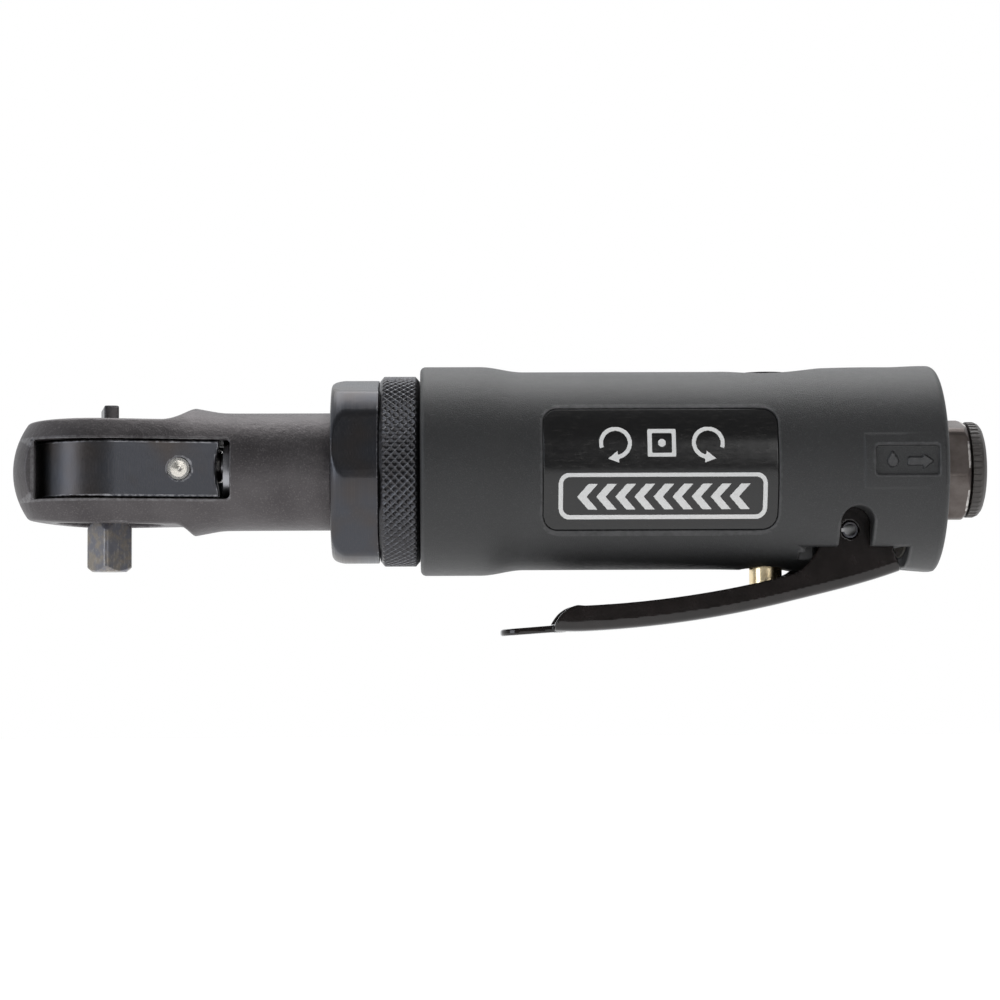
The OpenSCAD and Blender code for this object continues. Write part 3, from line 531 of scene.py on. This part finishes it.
def lever_black():
    """Gloss black finish with a brown cast and a little ripple."""
    s = Shader("lever_black")
    fine = s.noise(0.4, 3.0, 0.6)
    ripple = s.noise(3.5, 2.0)
    tone = s.blend((0.010, 0.007, 0.006), (0.018, 0.013, 0.012), s.level(ripple, 0.35, 0.65))
    return s.done(
        Base_Color=s.blend(tone, (0.10, 0.095, 0.09), s.worn(0.95, 1.4)), Metallic=0.1,
        Roughness=s.level(fine, 0.3, 0.8, 0.10, 0.18), Coat_Weight=0.25, Coat_Roughness=0.05,
        Specular_IOR_Level=0.35,
        Normal=s.bump(fine, 0.004, s.bump(ripple, 0.05)))


def brass():
    """Polished brass with turning lines and a few darker stains."""
    s = Shader("brass")
    lines = s.noise(0.12, 2.0, 0.5, s.stretched((0.02, 0.02, 1.0)))
    stain = s.noise(1.6, 3.0)
    tone = s.blend((0.93, 0.77, 0.50), (0.72, 0.55, 0.31), s.level(stain, 0.5, 0.75))
    return s.done(Base_Color=tone, Metallic=1.0, Roughness=s.level(lines, 0.3, 0.7, 0.14, 0.26),
                  Normal=s.bump(lines, 0.006))


def phosphate():
    """Inlet hexagon: brown-grey phosphate, chipped bright along its edges."""
    s = Shader("phosphate")
    fine = s.noise(0.25, 3.0, 0.6)
    cloud = s.noise(3.5, 3.0)
    tone = s.blend((0.085, 0.070, 0.064), (0.125, 0.108, 0.100), s.level(cloud, 0.4, 0.65))
    return s.done(
        Base_Color=s.blend(tone, (0.50, 0.48, 0.46), s.worn(0.78, 1.05, 0.9)), Metallic=0.75,
        Roughness=s.level(fine, 0.2, 0.8, 0.34, 0.50), Normal=s.bump(fine, 0.02, s.bump(cloud, 0.04)))


def soft_part(name, low, high, rough, grain, depth):
    """Rubber, felt or plastic with an even grain."""
    s = Shader(name)
    fine = s.noise(grain, 4.0, 0.65)
    return s.done(Base_Color=s.blend(low, high, s.level(fine, 0.3, 0.7)),
                  Roughness=s.level(fine, 0.2, 0.8, rough - 0.06, rough + 0.08), Normal=s.bump(fine, depth))


MATERIALS = {
    "forged_head": forged_head(),
    "black_oxide": black_oxide(),
    "hard_steel": plain_steel("hard_steel", (0.36, 0.36, 0.38), 0.30, 0.3),
    "bright_steel": plain_steel("bright_steel", (0.86, 0.84, 0.80), 0.22, 0.2),
    "drive_steel": drive_steel(),
    "knurl_black": knurl_black(),
    "composite": composite(),
    "label_black": label_black(),
    "lever_black": lever_black(),
    "brass": brass(),
    "rubber": soft_part("rubber", (0.012, 0.012, 0.012), (0.024, 0.023, 0.023), 0.5, 0.4, 0.01),
    "plug_plastic": soft_part(
        "plug_plastic", (0.050, 0.043, 0.039), (0.072, 0.064, 0.059), 0.46, 0.3, 0.02),
    "phosphate": phosphate(),
    "aluminium": plain_steel("aluminium", (0.62, 0.62, 0.63), 0.34, 0.4),
    "felt": soft_part("felt", (0.34, 0.32, 0.28), (0.55, 0.53, 0.48), 0.9, 0.35, 0.12),
    "vane": soft_part("vane", (0.12, 0.08, 0.05), (0.19, 0.13, 0.08), 0.5, 0.5, 0.02),
}
PRINT = label_print()
BRUSHED = brushed_black()

# ---- Ratchet head ----

BALL_X, BALL_R = -2.6, 15.2
NECK_R, CONE_END = 10.95, 21.0
HEAD_TOP, HEAD_LOW, WINDOW_H = 9.3, 9.9, 5.4
HEAD_FALL = 90 - math.degrees(math.atan2(NECK_R, CONE_END - BALL_X)
                              + math.acos(BALL_R / math.hypot(CONE_END - BALL_X, NECK_R)))
# Where the cutter that milled each face turns out of the blank, and the radius of its way out
CUTTER_X, CUTTER_R = (10.2, 12.6), (6.1, 2.33)
# How far each face falls away towards the tip
FACE_CROWN = (0.25, 0.85)


def ratchet_housing(x, y, z):
    around, about = np.hypot(y, z), np.hypot(x, y)
    s, c = math.sin(math.radians(HEAD_FALL)), math.cos(math.radians(HEAD_FALL))
    u = x - BALL_X
    swell = (BALL_R - u * s) / c - NECK_R
    side = (around - NECK_R - (swell + np.hypot(swell, 0.2)) / 2) * c
    blank = np.where(u * c > around * s, side, np.hypot(u, around) - BALL_R)
    fall = (np.maximum(-x, 0) / 14) ** 2
    for up, height, crown, start, r in zip((1, -1), (HEAD_TOP, HEAD_LOW), FACE_CROWN, CUTTER_X, CUTTER_R):
        out = np.maximum(x - start, 0) / r
        face = height - crown * fall + out ** 2 * r / 2
        blank = both(blank, (up * z - face) / np.hypot(1, np.minimum(out, 1.2)), 0.4)
    body = both(blank, x - 44.5)
    flange = both(around - 15.1, slab(x, 43.8, 46.6), 0.2)
    chamber = both(about - 15.8, np.abs(z) - WINDOW_H)
    window = both(box2(x, z, (-17.2, -WINDOW_H), (23, WINDOW_H), 0.8), -both(np.abs(y) - 9.6, x + 5))
    body = without(either(body, flange), either(chamber, window), 0.22)
    knob_seat = either(both(about - 7.1, 8 - z), both(about - 6.05, -z))
    body = without(body, either(knob_seat, both(about - 10, z)), 0.3)
    groove = both(about - 10.6, slab(z, -8.85, -8.15))
    shaft = either(both(around - 8, slab(x, 21.3, 37)), both(around - 5.6, slab(x, 36, 50)))
    return without(body, either(groove, shaft))


YOKE_R, TAIL_TURN = 13.7, 12.73
FORK_X, FORK_HALF = 17.9, 6.4
TEETH = 40


def ratchet_yoke(x, y, z):
    side = np.abs(y)
    body = both(tapered(x, side, YOKE_R, TAIL_TURN), np.abs(z) - (WINDOW_H - 0.2), 0.35)
    body = both(body, x - 21, 0.25)
    body = without(body, np.hypot(x - 34.4, z) - 14, 0.25)
    fork = tapered(x - FORK_X, side, FORK_HALF, 0)
    turn = np.arctan2(y, x) * TEETH / (2 * np.pi) % 1
    tooth = np.interp(turn, [0, 0.05, 0.45, 0.6, 0.9, 1], [10.25, 10.5, 10.5, 9.75, 9.75, 10.25])
    body = without(body, either(fork, (np.hypot(x, y) - tooth) / 2), 0)
    return without(body, np.hypot(x - 13.8, z) - 2, 0.12)


DRIVE_TURN, KNOB_TURN = 43.0, 100.0
SQUARE_HALF, SQUARE_TOP, SQUARE_END = 3.175, -9.0, -18.5


def drive_anvil(x, y, z):
    about = np.hypot(x, y)
    square = both(both(np.abs(x) - SQUARE_HALF, np.abs(y) - SQUARE_HALF),
                  (np.abs(x) + np.abs(y) - 2 * SQUARE_HALF + 0.52) / math.sqrt(2), 0.15)
    cone = outline(about, z, [(-5, SQUARE_END), (3.15, SQUARE_END), (4.5, SQUARE_END + 1.05),
                              (4.5, SQUARE_TOP - 2), (3.2, SQUARE_TOP + 0.05), (-5, SQUARE_TOP + 0.05)])
    square = both(square, cone, 0.15)
    body = both(about - 9.5, slab(z, -5.6, 5.2))
    body = either(body, both(about - 9.95, slab(z, -7.7, -5.5), 0.2))
    body = either(body, both(about - 6, slab(z, 5.1, 7.6)))
    body = either(body, both(about - 4.9, slab(z, SQUARE_TOP, -7.6), 0.2), 0.25)
    body = either(body, either(square, both(about - 3.2, slab(z, SQUARE_TOP - 0.4, -8.5))), 0.2)
    pocket = both(outline(x, y, [(0, 0), (3.2, 5.2), (13, 12), (13, -12), (3.2, -5.2)]), np.abs(z) - 4.1)
    bores = either(both(about - 3.5, -4.1 - z), both(np.hypot(x - 7.2, y) - 1, -5.25 - z))
    ball = both(np.hypot(y, z - SQUARE_END - 3.2) - 1.15, 0.3 - x)
    return without(without(body, either(pocket, bores)), ball, 0.12)


def reverse_knob(x, y, z):
    about = np.hypot(x, y)
    disc = both(about - 6.8, slab(z, 8.1, 9.1), 0.3)
    ridge = both(both(both(np.abs(y) - 1.35, np.abs(x) - 6), about - 5.9, 0.3), slab(z, 8.6, 12.1), 0.35)
    shaft = both(about - 3.45, slab(z, -4, 8.5), 0.1)
    turn = math.radians(DRIVE_TURN - 30 - KNOB_TURN)
    u, v = x * math.cos(turn) + y * math.sin(turn), y * math.cos(turn) - x * math.sin(turn)
    return without(either(either(disc, ridge, 0.3), shaft), both(np.hypot(v, z) - 1.2, -1.2 - u))


# ---- Clamp nut, lock ring and inlet ----

NUT_X, NUT_R, NUT_FLATS, NUT_TURN = (41.5, 50.3), 17.35, 32.6, 15.0
LOCK_X, LOCK_R, NOSE_R = (50.45, 57.8), 17.8, 15.2


def hexagon(y, z, flats):
    sides = [np.abs(y * math.cos(a) + z * math.sin(a)) for a in np.radians((0, 60, 120))]
    return np.maximum(np.maximum(*sides[:2]), sides[2]) - flats / 2


def clamp_nut(x, y, z):
    around = np.hypot(y, z)
    lo, hi = NUT_X
    turned = [(lo, -9), (lo, 15.9), (lo + 0.2, 16.3), (lo + 0.6, 16.65), (lo + 1.1, 16.93),
              (lo + 1.8, 17.2), (lo + 2.6, 17.6), (lo + 4, 19), (hi + 1, 19), (hi + 1, -9)]
    hexed = both(hexagon(y, z, NUT_FLATS), around - NUT_R, 0.3)
    body = both(hexed, both(outline(x, around, turned), x - hi, 0.3), 0.25)
    return without(body, either(around - NECK_R - 0.1, both(around - NOSE_R - 0.05, 43.75 - x)), 0.25)


def inlet_bushing(x, y, z):
    around = np.hypot(y, z)
    hexed = both(both(hexagon(y, z, 17.5), around - 9.7, 0.2), slab(x, 151.2, 159.6), 0.2)
    hexed = both(hexed, (x - 158 + around - 10.5) / math.sqrt(2), 0.2)
    thread = both(around - 8.2, slab(x, 134.2, 151.5), 0.3)
    thread = without(thread, both(slab(x, 137, 138.9), 7.1 - around))
    bore = either(either(both(around - 6.9, 156.2 - x), around - 5.3), both(around - 5.9, 145.2 - x))
    bore = either(bore, both(around - 5.65, 144.3 - x))
    return without(either(hexed, thread), bore, 0.2)


AROUND, AXIAL = 71, 1.5


def knurled_ring():
    """Diamond points between crossing grooves, chamfered at both ends."""
    samples = 8
    turn = np.arange(AROUND * samples) / samples
    lo, hi = LOCK_X
    rings, rubbed_and_highlit_tips = [], []
    for x in np.append(np.arange(lo, hi, AXIAL / samples), hi):
        across = (x - (lo + hi) / 2) / AXIAL
        point = np.minimum(*(2 * np.abs((turn + side * across) % 1 - 0.5) for side in (1, -1)))
        rim = LOCK_R - 1.0 * np.clip(1 - min(x - lo, hi - x) / 0.85, 0, 1)
        r = np.minimum(LOCK_R - 0.5 + 0.48 * (1 - point), rim)
        rings.append((x, r))
        # how far out each diamond point stands: lights its tips as wear and as painted highlight
        rubbed_and_highlit_tips.append(np.clip((r - LOCK_R + 0.25) / 0.2, 0, 1))
    rings += [(hi, NOSE_R + 0.05), (lo, NOSE_R + 0.05)]
    mesh = lathe("knurled_lock_ring", rings, len(turn), sharp=20)
    edge = np.concatenate([*rubbed_and_highlit_tips, np.zeros(2 * len(turn))])
    mesh.attributes.new("edge", "FLOAT", "POINT").data.foreach_set("value", edge.astype(np.float32))
    return mesh


# ---- Grip ----

FRONT, REAR, END_R, GRIP_R = 57.9, 153.8, 19.5, 18.5
VALVE_X, PIVOT_X, PIVOT_Z = 122.3, 136.7, -11.6
PLATE = ((80.2, -11.6), (122.7, 10.2))
PLATE_CORNER = 2.6


def oil_mark(x, z):
    """A drop and an arrow towards the inlet."""
    peak = outline(x, z, [(142.5, 0.85), (144.1, 0.85), (143.3, 2.5)])
    drop = either(np.hypot(x - 143.3, z - 0.35) - 0.95, peak, 0.15)
    head = outline(x, z, [(148.8, -1), (150.7, 0.4), (148.8, 1.8)])
    arrow = either(box2(x, z, (146, -0.35), (149, 1.15), 0.1), head)
    return either(drop, arrow)


def motor_housing(x, y, z):
    around, side = np.hypot(y, z), np.abs(y)
    swell = ease(0, 0.8, (x - 110) / 32) + ease(0, 0.2, (x - 145) / 6.4)
    radius = ease(END_R, GRIP_R, (x - 69) / 8) + swell
    body = both(both(around - radius, x - REAR, 1.4), FRONT - x, 1.0)
    body = either(body, both(around - NOSE_R, slab(x, 46.7, FRONT + 1)))
    ramp = np.interp(x, [137.5, 138.4, 152.8, 153.5], [GRIP_R, END_R, END_R, END_R - 0.5])
    pad = both(both(box2(x, z, (137.5, -4.4), (153.5, 5.4), 0.9), around - ramp, 0.35), y + 10)
    body = both(either(body, pad, 0.35), around - END_R)
    body = without(body, both(143 - x, z + 18.1 + 0.1017 * (x - 143)), 0.3)

    inside = both(around - 13.95, x - 112.4)
    inside = either(inside, both(both(around - 15.15, side - 9.5), both(slab(x, 70, 112), 2 - z)))
    inside = either(inside, both(np.hypot(side - 9.3, z - 7) - 2.3, slab(x, 111, 148)))
    inside = either(inside, both(np.hypot(y, z - 2) - 2.6, slab(x, 111, VALVE_X)))
    inside = either(inside, both(around - 4, 124.3 - x))
    inside = either(inside, both(around - 8.25, 134 - x))
    inside = either(inside, both(both(around - 16.6, 147 - x), -both(around - 10.6, x - 151)))
    body = without(body, inside, 0.25)

    valve = np.hypot(x - VALVE_X, y)
    seat = either(both(valve - 4.6, z + 5.9), both(valve - 5.2, -6 - z))
    dish = both((valve - 5.4 - 3.4 * (z - 17.8)) / math.hypot(1, 3.4), 17.8 - z)
    pocket = both(both(slab(x, 118, 147.3), z + 14.7), 16 - np.hypot(x - 116.4, y))
    slots = both(both(slab(side, 8.4, 10.3), slab(x, 127.4, 145.5)), z + 5.9)
    notch = np.where(z < -10.5, np.abs(x - 137.3), np.hypot(x - 137.3, z + 10.5)) - 3
    body = without(body, either(seat, dish), 0.3)
    body = without(body, either(pocket, slots), 0.35)
    body = without(body, both(notch, 10.5 - side), 0.35)
    body = without(body, both(np.hypot(x - PIVOT_X, z - PIVOT_Z) - 1.5, side - 8.5), 0)

    (x0, z0), (x1, z1) = PLATE
    plate = both(box2(x, z, (x0 - 0.1, z0 - 0.1), (x1 + 0.1, z1 + 0.1), PLATE_CORNER + 0.1), 18.2 - around)
    panel = both(box2(x, z, (140.3, -2), (151.7, 3.3), 0.5), y + END_R - 0.75)
    body = without(body, both(plate, y), 0.12)
    body = without(body, panel, 0.18)
    return either(body, both(oil_mark(x, z), slab(y, -19.1, -18.5), 0.08))


def name_plate(x, y, z):
    return both(both(box2(x, z, *PLATE, PLATE_CORNER), slab(np.hypot(y, z), 18.22, 18.48), 0.06), y)


def arrow_arc(x, z, centre, r, width, start, end):
    """A round arrow from start to end, in degrees, with its head at the end."""
    mirror = 1 if end > start else -1
    u, v = x - centre, (z - 3.9) * mirror
    lo, hi = sorted((start * mirror, end * mirror))
    middle, half = math.radians((lo + hi) / 2), math.radians((hi - lo) / 2)
    s, c = math.sin(middle), math.cos(middle)
    turn = np.arctan2(v * c - u * s, u * c + v * s)
    band = both(np.abs(np.hypot(u, v) - r) - width / 2, (np.abs(turn) - half) * r)
    tip = math.radians(hi)
    along, out = (-math.sin(tip), math.cos(tip)), (math.cos(tip), math.sin(tip))
    base = (r * out[0], r * out[1])
    corners = [(base[0] + a * along[0] + b * out[0], base[1] + a * along[1] + b * out[1])
               for a, b in ((-0.1, -1.15), (1.9, 0), (-0.1, 1.15))]
    return either(band, outline(u, v, corners))


def print_shape(x, z):
    """The name plate's print, seen from the side: a turning arrow on each side of a square drive, above a
    frame of chevrons that point to the head."""
    shape = arrow_arc(x, z, 93.2, 2.6, 0.8, 200, -80)
    shape = either(shape, arrow_arc(x, z, 110.0, 2.6, 0.8, -20, 260))
    drive = without(box2(x, z, (99.0, 1.3), (104.2, 6.5), 0.3), box2(x, z, (99.8, 2.1), (103.4, 5.7), 0.2))
    shape = either(shape, either(drive, np.hypot(x - 101.6, z - 3.9) - 0.75))
    frame_ring = np.abs(box2(x, z, (83.3, -9.4), (120.3, -1.9), 1.6)) - 0.42
    shape = either(shape, frame_ring)
    lean = np.abs(z + 5.8)
    count, pitch = 9, 3.45
    for k in range(count):
        at = x - 86.2 - k * pitch - 0.9 * lean
        shape = either(shape, both(slab(at, 0, 1.75) * 0.743, lean - 2.3))
    return shape


def name_plate_print(x, y, z):
    return both(print_shape(x, z), slab(np.hypot(y, z), 18.46, 18.5), 0.01)


# ---- Lever ----

ARC_X, ARC_Z, ARC_R = 80.2, 162.3, 192.2
LEVER_HALF, SHEET, WALL_H, FOLD = 10.0, 1.3, 4.7, 1.8
BEND_X, LEVER_REAR, TAIL_X = 82.4, 146.1, 72.7


def sag(x):
    """How far the lever hangs below its arc."""
    return ease(0, 0.24, (x - 80) / 8) + ease(0, 0.63, (x - 125) / 22)


def lever_z(x, r=ARC_R):
    return ARC_Z - np.sqrt(r * r - (x - ARC_X) ** 2) - sag(x)


def curve(points, n=5):
    """A smooth line through points."""
    p = np.array([points[0], *points, points[-1]], float)
    t = np.arange(n)[:, None] / n
    parts = [b + 0.5 * t * (c - a + t * (2 * a - 5 * b + 4 * c - d + t * (3 * b - a - 3 * c + d)))
             for a, b, c, d in zip(p, p[1:], p[2:], p[3:])]
    return [tuple(q) for q in np.concatenate([*parts, p[-1:]])]


EAR = ([(x, float(lever_z(x)) + WALL_H - 1.5) for x in np.arange(145.2, 124, -3.5)]
       + curve([(123, float(lever_z(123)) + WALL_H - 0.05), (125.2, -20.05), (127, -19.3), (128.4, -18.2),
                (129.6, -16.9), (130.6, -15.4), (131.3, -13.7), (132.1, -11.6), (132.8, -9.5)], 4)
       + arc_points((136, -10.4), 3.3, 155, 90, 10) + arc_points((138.6, -10.6), 3.5, 90, 20, 12)
       + curve([(142.3, -10.4), (143, -12.9), (143.6, -13.7), (144.4, -14.05)], 4))
TOP_R = ARC_R - WALL_H
REAR_TURN = math.asin((LEVER_REAR - ARC_X) / ARC_R)
REAR_TOP = ARC_X + TOP_R * math.sin(REAR_TURN)
BAND = ([(x, float(lever_z(x)) - 0.8) for x in np.linspace(BEND_X, LEVER_REAR + 0.4, 40)]
        + [(x, float(lever_z(x, TOP_R))) for x in np.linspace(REAR_TOP, 88, 36)]
        + curve([(86.6, -25.16), (85.3, -25.6), (84.1, -26.4), (83.2, -27.4), (82.5, -28.5)], 4)
        + [(BEND_X, -29.2)])


def throttle_lever(x, y, z):
    side = np.abs(y)
    out = np.hypot(x - ARC_X, z + sag(x) - ARC_Z) - ARC_R
    channel = np.abs(both(side - LEVER_HALF, out, FOLD) + SHEET / 2) - SHEET / 2
    silhouette = either(outline(x, z, BAND), outline(x, z, EAR), 0.4)
    silhouette = both(silhouette, (x - ARC_X) * math.cos(REAR_TURN) + (z - ARC_Z) * math.sin(REAR_TURN))
    channel = both(channel, silhouette, 0.3)
    plan = box2(x, y, (TAIL_X, -7), (BEND_X + 12, 7), 4)
    top = (BEND_X + 2, float(lever_z(BEND_X + 2)))
    plate = outline(x, z, [(TAIL_X - 1, -30.878), top, (top[0], top[1] + SHEET), (TAIL_X - 1, -29.666)])
    lever = either(channel, both(plan, plate, 0.35), 0.5)
    return without(lever, np.hypot(x - PIVOT_X, z - PIVOT_Z) - 1.55, 0.15)


def lever_pin(x, y, z):
    around = np.hypot(x - PIVOT_X, z - PIVOT_Z)
    slot = both(np.abs(z - PIVOT_Z) - 0.35, slab(x, PIVOT_X - 3.5, PIVOT_X - 0.5))
    return without(both(both(around - 1.49, 1.08 - around), np.abs(y) - LEVER_HALF - 0.2, 0.1), slot, 0.08)


# ---- Pieces ----

ROUND = 2 * math.pi * np.arange(336) / 336
PLATE_SECTOR = steps((-math.acos(-12.2 / 18.5), -math.acos(10.8 / 18.5), 0.016))


def build():
    ring = steps((-15.6, 15.6, 0.34))
    piece("ratchet_housing", carve("ratchet_housing", ratchet_housing, (
        steps((-18.6, 24, 0.34), (24, 43, 0.8), (43, 47.2, 0.4)), ring, ring), depth=0.5),
        "housing", "forged_head", "ratchet_housing")
    across = steps((-14.1, 14.1, 0.3))
    piece("ratchet_yoke", carve("ratchet_yoke", ratchet_yoke, (
        steps((-14.1, 21.3, 0.3)), across, steps((-5.5, 5.5, 0.3)))), "yoke", "black_oxide", "ratchet_yoke")
    wide = steps((-10.3, -4.9, 0.45), (-4.9, 4.9, 0.2), (4.9, 10.3, 0.45))
    piece("drive_anvil", carve("drive_anvil", drive_anvil, (
        wide, wide, steps((-18.75, -7.4, 0.2), (-7.4, 8, 0.45))), turn=("Z", DRIVE_TURN), depth=0.5),
        "anvil", "drive_steel", "drive_anvil")
    knob = steps((-7.1, 7.1, 0.22))
    piece("reverse_knob", carve("reverse_knob", reverse_knob, (
        knob, knob, steps((-4.3, 7.9, 0.5), (7.9, 12.6, 0.2))), turn=("Z", KNOB_TURN), depth=0.5),
        "reverse_knob", "black_oxide", "reverse_knob")
    nut = steps((-17.75, 17.75, 0.25))
    piece("clamp_nut", carve("clamp_nut", clamp_nut, (
        steps((41.2, 50.6, 0.25)), nut, nut), turn=("X", -NUT_TURN), depth=0.4),
        "housing", "black_oxide", "clamp_nut")
    piece("knurled_lock_ring", knurled_ring(), "housing", "knurl_black", "knurled_lock_ring")
    inlet = steps((-9.95, 9.95, 0.22))
    piece("inlet_bushing", carve("inlet_bushing", inlet_bushing, (
        steps((133.9, 150.8, 0.6), (150.8, 159.9, 0.22)), inlet, inlet), turn=("X", -15.5)),
        "housing", "phosphate", "inlet_bushing")
    piece("motor_housing", carve("motor_housing", motor_housing, (
        steps((46.4, 57.6, 0.8), (57.6, 154.2, 0.35)), ROUND,
        steps((0, 13, 0.8), (13, 16.55, 0.5), (16.55, 19.85, 0.3))), polar=True, share=0.42),
        "housing", "composite", "motor_housing")
    piece("name_plate", carve("name_plate", name_plate, (
        steps((79.9, 123.0, 0.35)), PLATE_SECTOR, steps((18.15, 18.55, 0.1))),
        polar=True, closed=False, depth=0.1), "housing", "label_black", "name_plate")
    ink = piece("name_plate_print", carve("name_plate_print", name_plate_print, (
        steps((82.5, 121.1, 0.13)), steps((-math.acos(-10.2 / 18.5), -math.acos(8 / 18.5), 0.007)),
        steps((18.445, 18.515, 0.0175))), polar=True, closed=False, depth=0.01), "housing", "label_black")
    ink.data.materials[0] = PRINT
    bpy.data.objects["ratchet_yoke"].data.materials[0] = BRUSHED
    piece("throttle_lever", carve("throttle_lever", throttle_lever, (
        steps((72.2, 146.8, 0.36)), steps((-10.35, 10.35, 0.33)), steps((-31.4, -6.5, 0.33))), depth=0.5),
        "lever", "lever_black", "throttle_lever")
    pin_x, pin_z = (steps((at - 1.7, at + 1.7, 0.1)) for at in (PIVOT_X, PIVOT_Z))
    pin_y = steps((-10.4, -9.8, 0.1), (-9.8, 9.8, 0.7), (9.8, 10.4, 0.1))
    piece("lever_pin", carve("lever_pin", lever_pin, (pin_x, pin_y, pin_z), depth=0.15),
          "housing", "black_oxide", "lever_pin")


build()

for part in frame["record"]["subparts"]:
    node = frame["nodes"][part["node"]]
    if not node.hide_render:
        node.data.materials.clear()
        node.data.materials.append(MATERIALS[part["material_slot"]])

# ---- Floor and light ----

FLOOR_Z = -0.14


def soft_light(name, at, aim, size, power, tint=(1, 1, 1)):
    data = bpy.data.lights.new(name, "AREA")
    data.shape = "RECTANGLE"
    data.size, data.size_y = size
    data.energy = power
    data.color = tint
    lamp = bpy.data.objects.new(name, data)
    lamp.location = at
    lamp.visible_camera = False
    lamp.rotation_euler = (Vector(aim) - Vector(at)).to_track_quat("-Z", "Y").to_euler()
    bpy.context.scene.collection.objects.link(lamp)


def studio():
    scene = bpy.context.scene
    scene.view_settings.view_transform = "Standard"
    world = bpy.data.worlds.new("studio")
    world.use_nodes = True
    tree = world.node_tree
    tree.nodes.clear()

    def add(kind, **settings):
        made = tree.nodes.new(kind)
        for key, value in settings.items():
            setattr(made, key, value)
        return made

    # a pale room, darker on the camera's side
    place = add("ShaderNodeTexCoord")
    parts = add("ShaderNodeSeparateXYZ")
    tree.links.new(place.outputs["Generated"], parts.inputs[0])
    depth = add("ShaderNodeMapRange", interpolation_type="SMOOTHSTEP")
    for key, value in (("From Min", -0.55), ("From Max", 0.55), ("To Min", 0.15), ("To Max", 1.0)):
        depth.inputs[key].default_value = value
    tree.links.new(parts.outputs[1], depth.inputs["Value"])
    room, plain = add("ShaderNodeBackground"), add("ShaderNodeBackground")
    tree.links.new(depth.outputs[0], room.inputs["Strength"])
    plain.inputs["Color"].default_value = (1, 1, 1, 1)
    room.inputs["Color"].default_value = (0.96, 0.98, 1, 1)
    seen, pick, out = add("ShaderNodeLightPath"), add("ShaderNodeMixShader"), add("ShaderNodeOutputWorld")
    tree.links.new(seen.outputs["Is Camera Ray"], pick.inputs[0])
    tree.links.new(room.outputs[0], pick.inputs[1])
    tree.links.new(plain.outputs[0], pick.inputs[2])
    tree.links.new(pick.outputs[0], out.inputs["Surface"])
    scene.world = world

    soft_light("top", (0.08, 0.21, 0.57), (0.08, 0, 0), (0.8, 0.45), 3.3)
    soft_light("left", (-1.9, -1.15, 0.35), (0, 0, 0), (1.1, 1.4), 17.0, (0.86, 0.92, 1))
    soft_light("right", (1.0, -2.6, 0.9), (0.02, 0, 0), (0.9, 1.3), 12.0)

    s = Shader("floor")
    mottle = s.noise(60, 2.0)
    ray = s.node("ShaderNodeLightPath").outputs
    glow = s.level(ray["Is Glossy Ray"], 0, 1, 0.03, 0.75)
    glow = s.math("MAXIMUM", glow, ray["Is Camera Ray"])
    s.done(
        Base_Color=s.blend((0.58, 0.58, 0.58), (0.62, 0.62, 0.62), mottle),
        Roughness=s.level(mottle, 0, 1, 0.75, 0.85), Emission_Color=(1, 1, 1), Emission_Strength=glow)
    mesh = bpy.data.meshes.new("floor")
    mesh.from_pydata([(x, y, FLOOR_Z) for x, y in ((-3, -3), (3, -3), (3, 3), (-3, 3))], [], [(0, 1, 2, 3)])
    mesh.materials.append(s.material)
    floor = bpy.data.objects.new("floor", mesh)
    scene.collection.objects.link(floor)


studio()
